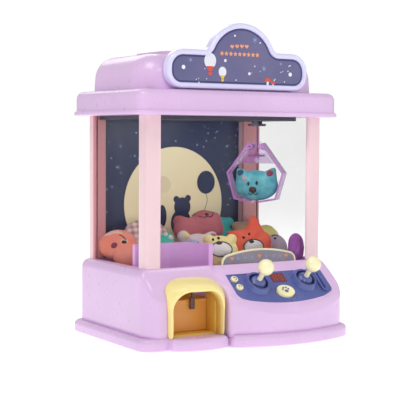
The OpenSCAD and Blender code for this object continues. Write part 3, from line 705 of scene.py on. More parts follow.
def build_sign():
    y = SIGN_FRONT
    profile = [(0.8, SIGN_BACK), (0, SIGN_BACK - 0.8), (0, y + 4), (0.35, y + 2.2),
               (1.2, y + 0.9), (2.4, y + 0.2), (3.6, y), (4.8, y + 0.2), (5.9, y + 0.9),
               (6.6, y + 2), (6.9, y + 3.4)]
    face = y + 2.6
    line = ((6.8, face + 0.8), (6.8, face), (9.2, face))
    field = ((9.1, face + 0.5), (9.1, face - 0.05), (9.4, face - 0.1))
    for name, section, material, slot, nodes, end in (
            ("sign_frame_shell", profile, LAVENDER, "lavender_sign", ["sign_frame"], True),
            ("sign_outline", line, INK_LINE, "print_navy", ["sign_panel"], False),
            ("sign_field", field, INK_NAVY, "print_navy", [], True)):
        loops = [[(x, level, z) for x, z in cloud_outline(inset)] for inset, level in section]
        piece = lofted(name, loops, material, cap_start=True, cap_end=end)
        place(piece, "cabinet", slot, *nodes)
    return face - 0.1


# ---- flat prints

INK_T = 0.12


def disc(centre, radius, ratio=1.0, steps=28):
    return [(centre[0] + radius * math.cos(2 * math.pi * k / steps),
             centre[1] + radius * ratio * math.sin(2 * math.pi * k / steps))
            for k in range(steps)]


def star(centre, radius, points=5, depth=0.45, turn=90.0):
    shape = []
    for k in range(2 * points):
        reach = radius if k % 2 == 0 else radius * depth
        angle = math.radians(turn + 180.0 * k / points)
        shape.append((centre[0] + reach * math.cos(angle), centre[1] + reach * math.sin(angle)))
    return shape


def heart(centre, size, steps=30):
    shape = []
    for k in range(steps):
        t = 2 * math.pi * k / steps
        x = 16 * math.sin(t) ** 3
        z = 13 * math.cos(t) - 5 * math.cos(2 * t) - 2 * math.cos(3 * t) - math.cos(4 * t)
        shape.append((centre[0] + size * x / 17, centre[1] + size * z / 17))
    return shape


def print_shapes(name, shapes, material, surface, slot, body="cabinet", thickness=INK_T):
    """Flat prints: outlines in a plane's own x, z, set on it by surface(x, z, lift)."""
    vertices, faces = [], []
    for shape in shapes:
        count = len(shape)
        area = sum(shape[k][0] * shape[(k + 1) % count][1] - shape[(k + 1) % count][0]
                   * shape[k][1] for k in range(count))
        ring = shape if area > 0 else shape[::-1]
        base = len(vertices)
        centre = (sum(p[0] for p in ring) / count, sum(p[1] for p in ring) / count)
        vertices += [surface(x, z, thickness) for x, z in ring]
        vertices += [surface(x, z, 0.0) for x, z in ring]
        vertices.append(surface(*centre, thickness))
        vertices.append(surface(*centre, 0.0))
        for k in range(count):
            nxt = (k + 1) % count
            faces.append((base + k, base + nxt, base + 2 * count))
            faces.append((base + count + nxt, base + count + k, base + 2 * count + 1))
            faces.append((base + k, base + count + k, base + count + nxt, base + nxt))
    obj = make_object(name, vertices, faces, material, sharp=30)
    return place(obj, body, slot)


def directions(points):
    """The unit direction of travel at each point of an open line."""
    last = len(points) - 1
    return [(Vector(points[min(k + 1, last)]) - Vector(points[max(k - 1, 0)])).normalized()
            for k in range(last + 1)]


def ribbon(name, lines, width, material, surface, slot, body="cabinet", thickness=INK_T):
    """Thin raised lines along lists of points."""
    vertices, faces = [], []
    for points in lines:
        loops = []
        for p, d in zip(points, directions(points)):
            a = (p[0] - d.y * width / 2, p[1] + d.x * width / 2)
            b = (p[0] + d.y * width / 2, p[1] - d.x * width / 2)
            loops.append([surface(*a, thickness), surface(*b, thickness), surface(*b, 0.0),
                          surface(*a, 0.0)])
        more, sides = loft(loops, cap_start=True, cap_end=True)
        faces += [tuple(k + len(vertices) for k in side) for side in sides]
        vertices += more
    return place(make_object(name, vertices, faces, material, sharp=30), body, slot)


def facing_front(y):
    """A surface across the front, its print standing towards the viewer."""
    return lambda x, z, lift: (x, y - lift, z)


def mushroom(x, z, size):
    cap = arc((x, z), size, 0, 180, 12)
    stem = [(x - size * 0.35, z - size * 0.9), (x + size * 0.35, z - size * 0.9),
            (x + size * 0.28, z), (x - size * 0.28, z)]
    return cap, stem


def balloon_figure(x, z, size):
    """A little hot-air balloon: envelope, band and basket."""
    envelope = disc((x, z), size, 1.12)
    neck = [(x - size * 0.62, z - size * 0.78), (x + size * 0.62, z - size * 0.78),
            (x + size * 0.25, z - size * 1.5), (x - size * 0.25, z - size * 1.5)]
    basket = [(x - size * 0.28, z - size * 2.1), (x + size * 0.28, z - size * 2.1),
              (x + size * 0.34, z - size * 1.62), (x - size * 0.34, z - size * 1.62)]
    return envelope, neck, basket


def build_sign_prints(y):
    on = facing_front(y)
    slot = "print_navy"
    rng = random.Random(4)
    dots = [disc((-8, 381), 1.3), disc((30, 374), 1.0), disc((-22, 350), 1.9),
            disc((14, 335), 1.9), disc((-82, 340), 2.6), disc((77, 336), 2.6),
            disc((52, 328), 0.9), disc((-60, 322), 1.0)]
    dots += [disc((rng.uniform(-92, 90), rng.uniform(324, 352)), rng.uniform(0.5, 0.9))
             for _ in range(16)]
    print_shapes("sign_dots", dots, INK_WHITE, on, slot)
    flakes = [star((22, 377), 5.0, 6, 0.22), star((-72, 349), 3.6, 6, 0.22),
              star((62, 349), 3.2, 6, 0.22), star((36, 342), 5.0, 6, 0.22)]
    print_shapes("sign_flakes", flakes, INK_PALE, on, slot)
    big = balloon_figure(-44, 349, 8.5)
    small = balloon_figure(-26, 336, 5.6)
    print_shapes("sign_balloon_tops", [big[0], small[0]], INK_WHITE, on, slot)
    higher = facing_front(y - INK_T)
    print_shapes("sign_balloon_red", [big[1], big[2]], INK_RED, higher, slot)
    print_shapes("sign_balloon_yellow", [small[1], small[2]], INK_YELLOW, higher, slot)
    bunting = [heart((-12 + 7.2 * k, 368.5 - 0.15 * (k - 2.5) ** 2), 3.0) for k in range(4)]
    bunting += [star((-27 + 6.6 * k, 358.5), 3.2, 5, 0.5) for k in range(9)]
    print_shapes("sign_bunting", bunting, INK_ORANGE, on, slot)
    caps, stems = zip(*(mushroom(x, z, s) for x, z, s in ((42, 326, 5), (50, 323, 3.6))))
    print_shapes("sign_mushroom_stems", stems, INK_WHITE, on, slot)
    print_shapes("sign_mushroom_caps", caps, INK_RED, higher, slot)


def build_back_prints():
    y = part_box("back_panel")[0].y / MM
    slot = "night_panel"
    moon = (-3.0, 165.0)
    print_shapes("moon", [disc(moon, 77, steps=96)], INK_MOON, facing_front(y), slot)
    glow = [disc((moon[0] - 20, moon[1] + 26), 15, 0.8), disc((moon[0] + 30, moon[1] - 30), 11),
            disc((moon[0] - 44, moon[1] - 12), 9)]
    print_shapes("moon_marks", glow, INK_GLOW, facing_front(y - INK_T), slot)
    silhouettes = [disc((48, 193), 14.5, 1.1), disc((10, 160), 13), disc((0.5, 170.5), 4.6),
                   disc((19, 171.5), 4.6), disc((8, 138), 16, 1.2), disc((-22, 148), 7, 2.2)]
    for k, shape in enumerate(silhouettes):
        on = facing_front(y - 2 * INK_T - 0.04 * k)
        print_shapes(f"moon_silhouette_{k}", [shape], INK_NIGHT, on, slot)
    cord = [(48 + 2.2 * math.sin(k / 2.2), 177 - 2.4 * k) for k in range(12)]
    ribbon("balloon_string", [cord], 0.7, INK_NIGHT, facing_front(y - 2 * INK_T), slot)
    rng = random.Random(11)
    flakes, dots = [], []
    while len(flakes) < 16:
        x, z = rng.uniform(-104, 104), rng.uniform(118, 272)
        if math.dist((x, z), moon) > 88:
            flakes.append(star((x, z), rng.uniform(2.2, 5.2), 6, 0.2, rng.uniform(0, 60)))
    while len(dots) < 46:
        x, z = rng.uniform(-108, 108), rng.uniform(104, 278)
        if math.dist((x, z), moon) > 80:
            dots.append(disc((x, z), rng.uniform(0.5, 1.3), steps=12))
    print_shapes("night_flakes", flakes, INK_DUST, facing_front(y), slot)
    print_shapes("night_dots", dots, INK_PALE, facing_front(y), slot)


ARCH_CROWN = 200.0


def arch_outline(grow):
    """Half of the arch plate's outline, mirrored: upright side, round corner, low crown."""
    low, high = (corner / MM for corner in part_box("arch_plate_frame"))
    middle = (low.x + high.x) / 2
    corner, crown = 12.0 + grow, ARCH_CROWN + grow
    crown_z = high.z - ARCH_CROWN
    side = low.x - grow
    corner_z = crown_z + math.sqrt((crown - corner) ** 2 - (side + corner - middle) ** 2)
    begin = math.degrees(math.atan2(corner_z - crown_z, side + corner - middle))
    half = [(side, low.z - grow)] + arc((side + corner, corner_z), corner, 180, begin, 8)
    half += arc((middle, crown_z), crown, begin, 90, 10)[1:]
    return half + [(2 * middle - x, z) for x, z in reversed(half[:-1])]


def build_arch_plate():
    """A slim frame with softened edges round a printed card."""
    low, high = (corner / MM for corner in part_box("arch_plate_frame"))
    section = ((0, low.y + 0.6), (-0.18, low.y + 0.18), (-0.6, low.y), (-1.9, low.y),
               (-2.3, low.y + 0.18), (-2.5, low.y + 0.6), (-2.5, high.y - 0.4), (-2.1, high.y),
               (-0.4, high.y), (0, high.y - 0.4))
    loops = [[(x, y, z) for x, z in arch_outline(grow)] for grow, y in section]
    place(lofted("arch_frame", loops, PALE_YELLOW, close_profile=True), "cabinet",
          "yellow_frame", "arch_plate_frame")
    front, back = (corner.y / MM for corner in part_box("arch_plate_insert"))
    loops = [[(x, y, z) for x, z in arch_outline(-2.3)] for y in (front, back)]
    place(lofted("arch_card", loops, INK_MAUVE, cap_start=True, cap_end=True), "cabinet",
          "print_navy", "arch_plate_insert")


def build_arch_prints():
    low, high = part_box("arch_plate_insert")
    on = facing_front(low.y / MM)
    middle = (low.x + high.x) / 2 / MM
    shapes = [star((middle + 11 * k, 103.5 - 0.06 * k * k), 2.6, 5, 0.5)
              for k in (-3, -2, -1, 1, 2, 3)]
    print_shapes("arch_stars", shapes, INK_PALE, on, "print_navy")
    hearts = [heart((middle - 42, 103), 3.0), heart((middle, 104.5), 3.2),
              heart((middle + 42, 103), 3.0)]
    print_shapes("arch_hearts", hearts, INK_ORANGE, on, "print_navy")


# ---- prize outlet frame

def build_prize_frame():
    """A moulded frame round the outlet: slim legs and a visor that runs back to the casing."""
    x_out, x_leg, x_in = (-115.0, -36.8), (-112.8, -39.8), (-109.3, -44.4)
    z_base, z_open, z_top = FOOT_Z - 2, 71.0, 85.8
    corner_wide, corner_tall = 27.0, 16.0
    wide, tall = 21.0, 24.0
    bulge, radius = (-68.0, -20.0), 76.5
    steps = 12

    def front(x):
        return bulge[1] - math.sqrt(radius ** 2 - (x - bulge[0]) ** 2)

    def casing(z):
        return FRONT_Y + max(0.0, z - 65) / 1.72

    def bend(x, wide, top, tall):
        """A quarter of an ellipse from an upright side over to the level top."""
        return [(x + wide * (1 - math.cos(math.radians(90 * k / steps))),
                 top - tall * (1 - math.sin(math.radians(90 * k / steps))))
                for k in range(steps + 1)]

    def side(end):
        """Outer and inner points of one leg and its corner, from the foot up."""
        way = 1 if end == 0 else -1
        outer = [(x_leg[end], z) for z in (z_base, 30.0, 44.0)]
        outer += [(lerp(x_leg[end], x_out[end], 0.6), 57.0), (x_out[end], 67.0)]
        outer += bend(x_out[end], way * corner_wide, z_top, corner_tall)
        inner = [(x_in[end], z) for z in (z_base, 26.0, 36.0, 42.0, 46.0)]
        inner += bend(x_in[end], way * wide, z_open, tall)
        return outer, inner

    left, right = side(0), side(1)
    across = [k / 5 for k in range(1, 5)]
    outer, inner = (left[k] + [(lerp(left[k][-1][0], right[k][-1][0], t), left[k][-1][1])
                               for t in across] + right[k][::-1] for k in (0, 1))
    section = ((0, "back", 12), (0, "front", 3.0), (0.05, "front", 1.0), (0.16, "front", 0.1),
               (0.34, "front", 0.2), (0.55, "visor", 0.16), (0.74, "visor", 0.4),
               (0.89, "visor", 0.66), (0.97, "visor", 0.86), (1.0, "visor", 0.98),
               (1.0, "visor", 1.06), (0.9, "visor", 1.12))
    rows = []
    for (xo, zo), (xi, zi) in zip(outer, inner):
        row = []
        for t, kind, amount in section:
            x, z = lerp(xi, xo, t), lerp(zi, zo, t)
            lip = front(min(max(x, -116), -40))
            wall = casing(z) - LIFT
            if kind == "back":
                row.append((x, wall + amount, z))
            elif kind == "front":
                row.append((x, min(lip + amount, wall), z))
            else:
                row.append((x, lerp(min(lip, wall - 1), wall, amount), z))
        rows.append(row)
    count = len(section)
    vertices, faces = loft(rows, cap_start=True, cap_end=True)
    hood = make_object("prize_hood", vertices, faces, YELLOW, sharp=50)
    # The opening's inner faces take YELLOW_INSIDE, which carries painted shade deeper in.
    hood.data.materials.append(YELLOW_INSIDE)
    for polygon in hood.data.polygons:
        if polygon.index < count * (len(rows) - 1) and polygon.index % count in (0, count - 1):
            polygon.material_index = 1
    smooth_skin = hood.modifiers.new("smooth", "SUBSURF")
    smooth_skin.levels = smooth_skin.render_levels = 2
    return place(hood, "cabinet", "yellow_frame", "prize_door_frame")


# ---- soft toys

def far_reach(shape, angle):
    """Distance from the centre to the far side of an ellipse (x, y, rx, ry)."""
    x, y, rx, ry = shape
    c, s = math.cos(angle), math.sin(angle)
    a = (c / rx) ** 2 + (s / ry) ** 2
    b = -2 * (c * x / rx ** 2 + s * y / ry ** 2)
    k = (x / rx) ** 2 + (y / ry) ** 2 - 1
    root = b * b - 4 * a * k
    if root < 0:
        return 0.0
    return max(0.0, (-b + math.sqrt(root)) / (2 * a))


def polygon_reach(corners, angle):
    """Distance from the centre to the far side of a polygon, such as a pointed ear."""
    c, s = math.cos(angle), math.sin(angle)
    best = 0.0
    for k, (ax, ay) in enumerate(corners):
        bx, by = corners[k - 1]
        before, after = ax * s - ay * c, bx * s - by * c
        if (before > 0) != (after > 0):
            t = before / (before - after)
            best = max(best, lerp(ax, bx, t) * c + lerp(ay, by, t) * s)
    return best


def toy_outline(shapes, steps=120, soften=2):
    """The far outline of ellipses (x, y, rx, ry) and polygons, seen from the middle."""
    reach = []
    for k in range(steps):
        angle = 2 * math.pi * k / steps
        reach.append(max(far_reach(shape, angle) if len(shape) == 4
                         else polygon_reach(shape, angle) for shape in shapes))
    for _ in range(soften):
        reach = [(reach[k - 1] + 2 * reach[k] + reach[(k + 1) % steps]) / 4
                 for k in range(steps)]
    return [(r * math.cos(2 * math.pi * k / steps), r * math.sin(2 * math.pi * k / steps))
            for k, r in enumerate(reach)]


def edge_distance(x, y, outline):
    best = 1e9
    count = len(outline)
    for k in range(count):
        ax, ay = outline[k]
        bx, by = outline[(k + 1) % count]
        dx, dy = bx - ax, by - ay
        t = max(0.0, min(1.0, ((x - ax) * dx + (y - ay) * dy) / (dx * dx + dy * dy)))
        best = min(best, math.hypot(x - ax - t * dx, y - ay - t * dy))
    return best


def stuffed_mesh(name, shapes, thickness, seed):
    """A closed cushion over the outline: domed front and back that meet in a seam."""
    outline = toy_outline(shapes)
    rings = 11
    count = len(outline)
    rng = random.Random(seed)
    phase = [rng.uniform(0, 6.28) for _ in range(4)]

    def level(x, y):
        depth = min(edge_distance(x, y, outline) / 13.0, 1.0)
        plump = math.sqrt(max(0.0, 1 - (1 - depth) ** 2)) * thickness / 2
        angle = math.atan2(y, x)
        tuck = 1 + 0.05 * math.sin(7 * angle + phase[0]) + 0.04 * math.sin(13 * angle + phase[1])
        return plump * lerp(tuck, 1.0, depth)

    vertices, faces = [], []
    block = rings * count + 1
    for start, side in ((0, 1), (block, -1)):
        loops = []
        for ring in range(rings):
            share = math.sin(math.pi / 2 * (1 - ring / rings))
            plane = [(px * share, py * share) for px, py in outline]
            loops.append([(x, y, side * (max(level(x, y), 0.3) if ring else 0.25))
                          for x, y in plane])
        half, skin = loft(loops)
        inner = (rings - 1) * count
        skin += [(inner + k, inner + (k + 1) % count, block - 1) for k in range(count)]
        vertices += half + [(0, 0, side * level(0, 0))]
        faces += [tuple(start + k for k in face)[::side] for face in skin]
    for k in range(count):
        nxt = (k + 1) % count
        faces.append((k, block + k, block + nxt, nxt))
    return make_object(name, vertices, faces, sharp=180)


def inflate(obj, cap):
    """Blows the cushion up by a short cloth simulation and keeps each point within cap."""
    rest = [v.co.copy() for v in obj.data.vertices]
    cloth = obj.modifiers.new("stuffing", "CLOTH")
    for key, value in (("use_pressure", True), ("uniform_pressure_force", 4.0), ("mass", 0.3),
                       ("tension_stiffness", 12), ("compression_stiffness", 12),
                       ("bending_stiffness", 0.3), ("shrink_min", -0.02)):
        setattr(cloth.settings, key, value)
    cloth.settings.effector_weights.gravity = 0.0
    scene = bpy.context.scene
    for step in range(1, 21):
        scene.frame_set(step)
    evaluated = obj.evaluated_get(bpy.context.evaluated_depsgraph_get())
    moved = [v.co.copy() for v in evaluated.data.vertices]
    obj.modifiers.remove(cloth)
    scene.frame_set(1)
    for vertex, start, end in zip(obj.data.vertices, rest, moved):
        shift = end - start
        if shift.length > cap:
            shift *= cap / shift.length
        vertex.co = start + shift


PILE = []
PILE_FLOOR, PILE_KEEP = 0.084, 0.42
STUFFING_CAP = 2.2 * MM


class Toy:
    """A stuffed toy: its own plane is x right and y up, and its face looks along z."""

    def __init__(self, name, shapes, thickness, matrix, material, seed, nodes=(),
                 body="cabinet", fill=0.7, wrinkle=0.6):
        self.name = name
        self.matrix = matrix
        self.body = body
        self.pieces = []
        self.obj = stuffed_mesh(name, shapes, thickness, seed)
        inflate(self.obj, STUFFING_CAP)
        self.crumple(seed, wrinkle)
        self.obj.data.materials.append(material)
        self.tree = BVHTree.FromPolygons(
            [v.co / MM for v in self.obj.data.vertices],
            [tuple(p.vertices) for p in self.obj.data.polygons])
        sub = self.obj.modifiers.new("smooth", "SUBSURF")
        sub.levels = sub.render_levels = 1
        self.obj.matrix_world = matrix
        place(self.obj, body, "plush_fabric", *nodes)
        self.pieces.append(self.obj)
        if body == "cabinet":
            PILE.append(self)

    def crumple(self, seed, amount):
        """Soft dents and folds in the stuffing."""
        rng = random.Random(seed * 7 + 1)
        waves = [(rng.uniform(0.10, 0.26), rng.uniform(0, 6.28), rng.uniform(0, 6.28))
                 for _ in range(5)]
        for vertex in self.obj.data.vertices:
            x, y, z = vertex.co / MM
            if abs(z) < 1:
                continue
            lift = 0.0
            for pitch, turn, phase in waves:
                lift += math.sin(pitch * (x * math.cos(turn) + y * math.sin(turn)) * 2 + phase)
            vertex.co.z += math.copysign(1, z) * lift * amount * 0.3 * MM

    def surface(self, x, y, lift):
        """The point of the toy's front at x, y, raised by lift."""
        point, normal, _, _ = self.tree.ray_cast(Vector((x, y, 60.0)), Vector((0, 0, -1)))
        if point is None:
            return (x, y, 0.0)
        return tuple(point + (normal if normal.z > 0 else -normal) * lift)

    def patch(self, name, outline, material, lift=0.25, dome=0.0, rings=4):
        """A sewn patch that follows the toy's front."""
        count = len(outline)
        cx = sum(p[0] for p in outline) / count
        cy = sum(p[1] for p in outline) / count

        def ring_at(share, rise):
            return [self.surface(lerp(cx, px, share), lerp(cy, py, share), rise)
                    for px, py in outline]

        loops = [ring_at(1.0, lift * 0.2)]
        for ring in range(1, rings):
            share = 1 - ring / rings
            loops.append(ring_at(share, lift + dome * (1 - share ** 2)))
        vertices, faces = loft(loops)
        vertices.append(self.surface(cx, cy, lift + dome))
        under = len(vertices)
        vertices += ring_at(0.98, -0.4)
        base = (rings - 1) * count
        for k in range(count):
            nxt = (k + 1) % count
            faces.append((base + k, base + nxt, under - 1))
            faces.append((k, under + k, under + nxt, nxt))
        faces.append(tuple(under + k for k in range(count - 1, -1, -1)))
        obj = make_object(f"{self.name}_{name}", vertices, faces, material, sharp=80)
        return self.settle(obj)

    def line(self, name, points, width, material, lift=0.45):
        """An embroidered line that follows the toy's front."""
        turns = [2 * math.pi * j / 6 for j in range(6)]
        loops = [[self.surface(p[0] - d.y * width / 2 * math.cos(turn),
                               p[1] + d.x * width / 2 * math.cos(turn),
                               lift * (0.4 + math.sin(turn))) for turn in turns]
                 for p, d in zip(points, directions(points))]
        vertices, faces = loft(loops, cap_start=True, cap_end=True)
        return self.settle(make_object(f"{self.name}_{name}", vertices, faces, material, 80))

    def settle(self, obj):
        obj.matrix_world = self.matrix
        place(obj, self.body, "plush_fabric")
        self.pieces.append(obj)
        return obj

    def squash_with_hoist(self, floor, keep):
        for piece in self.pieces:
            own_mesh(piece)


def toy_matrix(centre, tilt, yaw, roll=0.0):
    """Leans back by tilt from lying flat, turns by yaw, and rolls in its own plane."""
    return (Matrix.Translation(Vector(centre) * MM)
            @ Matrix.Rotation(math.radians(yaw), 4, "Z")
            @ Matrix.Rotation(math.radians(tilt), 4, "X")
            @ Matrix.Rotation(math.radians(roll), 4, "Z"))


def fur(name, first, second, patches=5, pile=0.9):
    return plush_cloth(f"{name}_fur", srgb(*first), srgb(*second), patches, pile)


FUR_DARK = printed("dark_thread", srgb(38, 28, 32), srgb(48, 36, 40), rough=0.7)
FUR_WHITE = fur("white", (240, 234, 232), (224, 218, 222), 9.0)
FUR_PINK = fur("pink", (206, 122, 128), (182, 98, 112))
FUR_CREAM = fur("cream", (246, 228, 172), (236, 212, 142))
FUR_ORANGE = fur("orange", (244, 116, 88), (232, 92, 76))
FUR_CORAL = fur("coral", (250, 140, 120), (250, 172, 148))
FUR_GREY = fur("grey", (190, 176, 190), (168, 152, 172))
FUR_PURPLE = fur("purple", (178, 104, 190), (154, 84, 170))
FUR_GREEN = fur("green", (232, 224, 142), (220, 214, 120))
FUR_MINT = fur("mint", (96, 206, 178), (72, 184, 160))
FUR_TEAL = fur("teal", (86, 196, 190), (60, 172, 170))
FUR_BLUE = fur("blue", (128, 206, 212), (66, 150, 178), 16, 1.3)
FUR_PASTEL = fur("pastel", (222, 212, 230), (238, 206, 184), 4)
FUR_BEIGE = fur("beige", (198, 168, 142), (176, 146, 122))
FUR_BROWN = printed("brown_thread", srgb(66, 38, 36), srgb(54, 32, 32), rough=0.7)
FUR_ROSY = fur("rosy", (186, 128, 128), (166, 110, 112))
FUR_PEACH = fur("peach", (240, 190, 150), (236, 204, 176))
FUR_SKY = fur("sky", (176, 190, 222), (200, 204, 226))
FUR_BLUSH = fur("blush", (244, 206, 190), (236, 176, 160))
FUR_RED = fur("red", (150, 74, 96), (128, 58, 84))
FUR_DEEP = fur("deep", (58, 92, 116), (46, 76, 100))
FUR_GINGHAM = gingham_cloth("gingham", srgb(242, 216, 212), srgb(182, 132, 136))


def eyes(toy, places, size=1.7, ratio=1.0):
    for k, centre in enumerate(places):
        toy.patch(f"eye_{k}", disc(centre, size, ratio, 16), FUR_DARK, 0.4, 0.8)


def muzzle(toy, centre, half_width, half_height, nose, nose_size, whole=True):
    """A pale padded muzzle with an embroidered edge and a nose on top."""
    ratio = half_height / half_width
    toy.patch("muzzle", disc(centre, half_width, ratio, 36), FUR_WHITE, 0.4, 2.2)
    turn = (0, 360) if whole else (-25, 205)
    edge = [(centre[0] + (half_width + 0.4) * math.cos(math.radians(a)),
             centre[1] + (half_height + 0.4) * math.sin(math.radians(a)))
            for a in range(turn[0], turn[1] + 1, 6)]
    toy.line("muzzle_edge", edge, 1.1, FUR_DARK, 1.0)
    toy.patch("nose", disc(nose, nose_size, 0.72, 20), FUR_BROWN, 1.6, 1.2)


def build_toys():
    pink = Toy("pink_bear", [(-5, -3, 32, 20), (14, 3, 25, 23), (-26, 12, 8, 8), (31, 13, 8, 9)],
               23, toy_matrix((15, 64, 132), 62, 0), FUR_PINK, 1, ("plush_pink_bear",),
               wrinkle=1.0)
    pink.line("mouth", [(0, 15), (3, 12.4), (7, 11), (10.4, 11.6), (12, 13.4), (13.6, 11.8),
                        (17, 11.6), (20.6, 13.4), (23, 16.4)], 1.5, FUR_DARK)
    pink.patch("nose", disc((12, 15.6), 3.6, 0.62, 18), FUR_BROWN, 0.4, 1.0)
    pink.line("left_eye", [(-4 + k, 19.6 + 0.25 * k) for k in range(5)], 1.3, FUR_DARK)
    pink.line("right_eye", [(23 + k, 20.6 - 0.3 * k) for k in range(5)], 1.3, FUR_DARK)

    pastel = Toy("pastel_bear", [(6, -3, 26, 22), (-12, 15, 8.5, 8.5), (27, 13, 8.5, 8.5)], 21,
                 toy_matrix((-17, 23, 111), 72, -8), FUR_PASTEL, 2, ("plush_pastel_bear",))
    pastel.patch("left_ear", disc((-12, 15.5), 4.8, 1, 20), FUR_CREAM, 0.3, 0.8)
    pastel.patch("right_ear", disc((27, 13.5), 4.8, 0.8, 20), FUR_ROSY, 0.3, 0.8)
    pastel.patch("peach_side", disc((14, -1), 9, 0.8, 26), FUR_PEACH, 0.2, 0.4)
    pastel.patch("sky_side", disc((-4, 2), 8, 0.9, 26), FUR_SKY, 0.2, 0.4)
    eyes(pastel, ((2, 4), (14, 4)), 1.5)

    cream = Toy("cream_bear", [(-2, -2, 23, 22), (-17, 15, 7, 7), (13, 15, 7, 7)], 20,
                toy_matrix((-4, -25, 110.5), 78, -20), FUR_CREAM, 3, ("plush_cream_bear",))
    muzzle(cream, (-3.0, 1.4), 13.6, 9.0, (-5.4, 9.0), 4.0)
    eyes(cream, ((-12.8, 14.2), (-5.2, 16.0)), 1.9)

    left_ear = [(-31, 17), (-6, 20), (-18, -8)]
    right_ear = [(11, 41), (-8, 15), (24, 13)]
    orange = Toy("orange_cat", [(0, -3, 28, 24), (21, 4, 10, 12), left_ear, right_ear], 21,
                 toy_matrix((55, 0, 115), 72, -12), FUR_ORANGE, 4, ("plush_orange_cat",))
    muzzle(orange, (1.5, -6), 13.5, 9, (-1.5, 0), 3.8, whole=False)
    eyes(orange, ((-11.4, 6.5), (-3, 11)), 1.9)

    bird = Toy("grey_bird", [(6, -2, 17, 19)], 15, toy_matrix((94.5, 7, 108.5), 78, -24),
               FUR_GREY, 5, ("plush_grey_bird",))
    bird.patch("cheek", disc((-4, 1), 5.4, 1.1, 20), FUR_CORAL, 0.3, 1.2)
    bird.line("brow", [(2 + k, 14 + 0.9 * k - 0.11 * k * k) for k in range(9)], 1.3, FUR_DARK)
    eyes(bird, ((5.4, 11),), 1.7)
    bird.patch("belly", disc((10, -9), 8, 0.7, 26), FUR_SKY, 0.3, 0.6)

    coral = Toy("coral_toy", [(-12, 2, 27, 20), (6, -9, 20, 18)], 21,
                toy_matrix((-100.5, 56.5, 114), 62, -62), FUR_CORAL, 6, ("plush_coral",))
    crown = [(-33, 8), (-30, 14), (-22, 18.4), (-12, 18.6), (-4, 16.4), (3, 12.4), (-4, 13.2),
             (-14, 12.6), (-24, 9.4)]
    coral.patch("rim", crown, FUR_BLUSH, 0.3, 0.8)
    coral.line("brow", [(-6 + 1.9 * k, 11.2 - 0.16 * k * k) for k in range(8)], 1.2, FUR_BROWN)
    coral.patch("eye_lid", disc((4.6, 2.6), 5.2, 0.7, 22), FUR_PEACH, 0.3, 0.3)
    coral.patch("eye", disc((4.8, 1.8), 4.0, 0.62, 22), FUR_DARK, 0.7, 0.9)
    coral.patch("cheek", disc((-8, -4), 5.0, 0.8, 22), FUR_RED, 0.3, 0.4)

    Toy("gingham_cushion", [(-3, -1, 31, 24)], 21, toy_matrix((-59, 70, 124.5), 68, -10),
        FUR_GINGHAM, 7, ("plush_small_toys",))
    mint = Toy("mint_toy", [(3, 0, 19, 19), (12, 13, 9, 9)], 17,
               toy_matrix((-63, 34, 112), 60, -20), FUR_MINT, 8)
    for k, centre in enumerate(((9, 17), (16, 12))):
        mint.patch(f"eye_white_{k}", disc(centre, 3.4, 1, 18), FUR_WHITE, 0.3, 0.9)
    eyes(mint, ((9.4, 17), (16.4, 12)), 1.6)
    teal = Toy("teal_dog", [(2, -1, 20, 18), (-6, 12, 9, 8), (14, 8, 8, 8)], 14,
               toy_matrix((64, 76, 129), 66, 10), FUR_TEAL, 9)
    eyes(teal, ((8, 0),), 1.9)
    Toy("green_toy", [(2, 0, 19, 18)], 14, toy_matrix((104.5, 29, 119.5), 62, 8),
        FUR_GREEN, 10)
    Toy("purple_toy", [(0, 1, 11, 17.5), (-1, -6, 11, 12)], 19,
        toy_matrix((111.2, -28, 110.5), 82, -6), FUR_PURPLE, 11)
    beige = Toy("beige_toy", [(4, 0, 26, 22), (-12, 15, 7, 7), (22, 17, 8, 8)], 19,
                toy_matrix((92, 58, 120), 56, 10), FUR_BEIGE, 12)
    beige.patch("tuft", disc((22, 19), 5, 0.9, 18), FUR_ROSY, 0.3, 0.8)
    beige.line("brow", [(8 + 2 * k, 12 - 0.3 * (k - 3) ** 2) for k in range(7)], 1.5, FUR_DARK)
    eyes(beige, ((15, 6),), 1.9)
    for toy in PILE:
        toy.squash_with_hoist(PILE_FLOOR, PILE_KEEP)
    build_caught_cat()


def build_caught_cat():
    low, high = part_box("plush_cat")
    centre = (low + high) / 2 / MM
    left_ear = [(-27, 21), (-28, 2), (-8, 13)]
    right_ear = [(26, 22), (8, 14), (28, 3)]
    cat = Toy("caught_cat", [(0, -3, 29.5, 20), left_ear, right_ear], 20,
              toy_matrix(centre, 90, CLAW_TURN), FUR_BLUE, 13, ("plush_cat",), body="claw",
              fill=0.8)
    cat.patch("nose", disc((-2, -8.7), 5.4, 0.8, 24), FUR_BROWN, 0.5, 1.8)
    cat.line("mouth", [(-9 + 1.75 * k, -13.6 - 1.6 * math.sin(math.pi * k / 4) ** 2)
                       for k in range(9)], 1.2, FUR_DARK)
    eyes(cat, ((-7.8, -0.7), (3.9, 0.4)), 1.9, 1.5)
    cat.patch("right_ear_inner", disc((20.5, 13.5), 4.6, 0.95, 20), FUR_RED, 0.3, 0.5)
    cat.patch("left_ear_inner", disc((-20.5, 13.5), 4.2, 0.95, 20), FUR_DEEP, 0.3, 0.4)
    cat.patch("cheek", disc((-13.8, 5.9), 3.6, 1.0, 20), FUR_GREY, 0.3, 0.5)


# ---- small details

def on_console(level):
    def surface(x, v, lift):
        point = CONSOLE @ (Vector((x, v, level + lift)) * MM)
        return tuple(point / MM)
    return surface


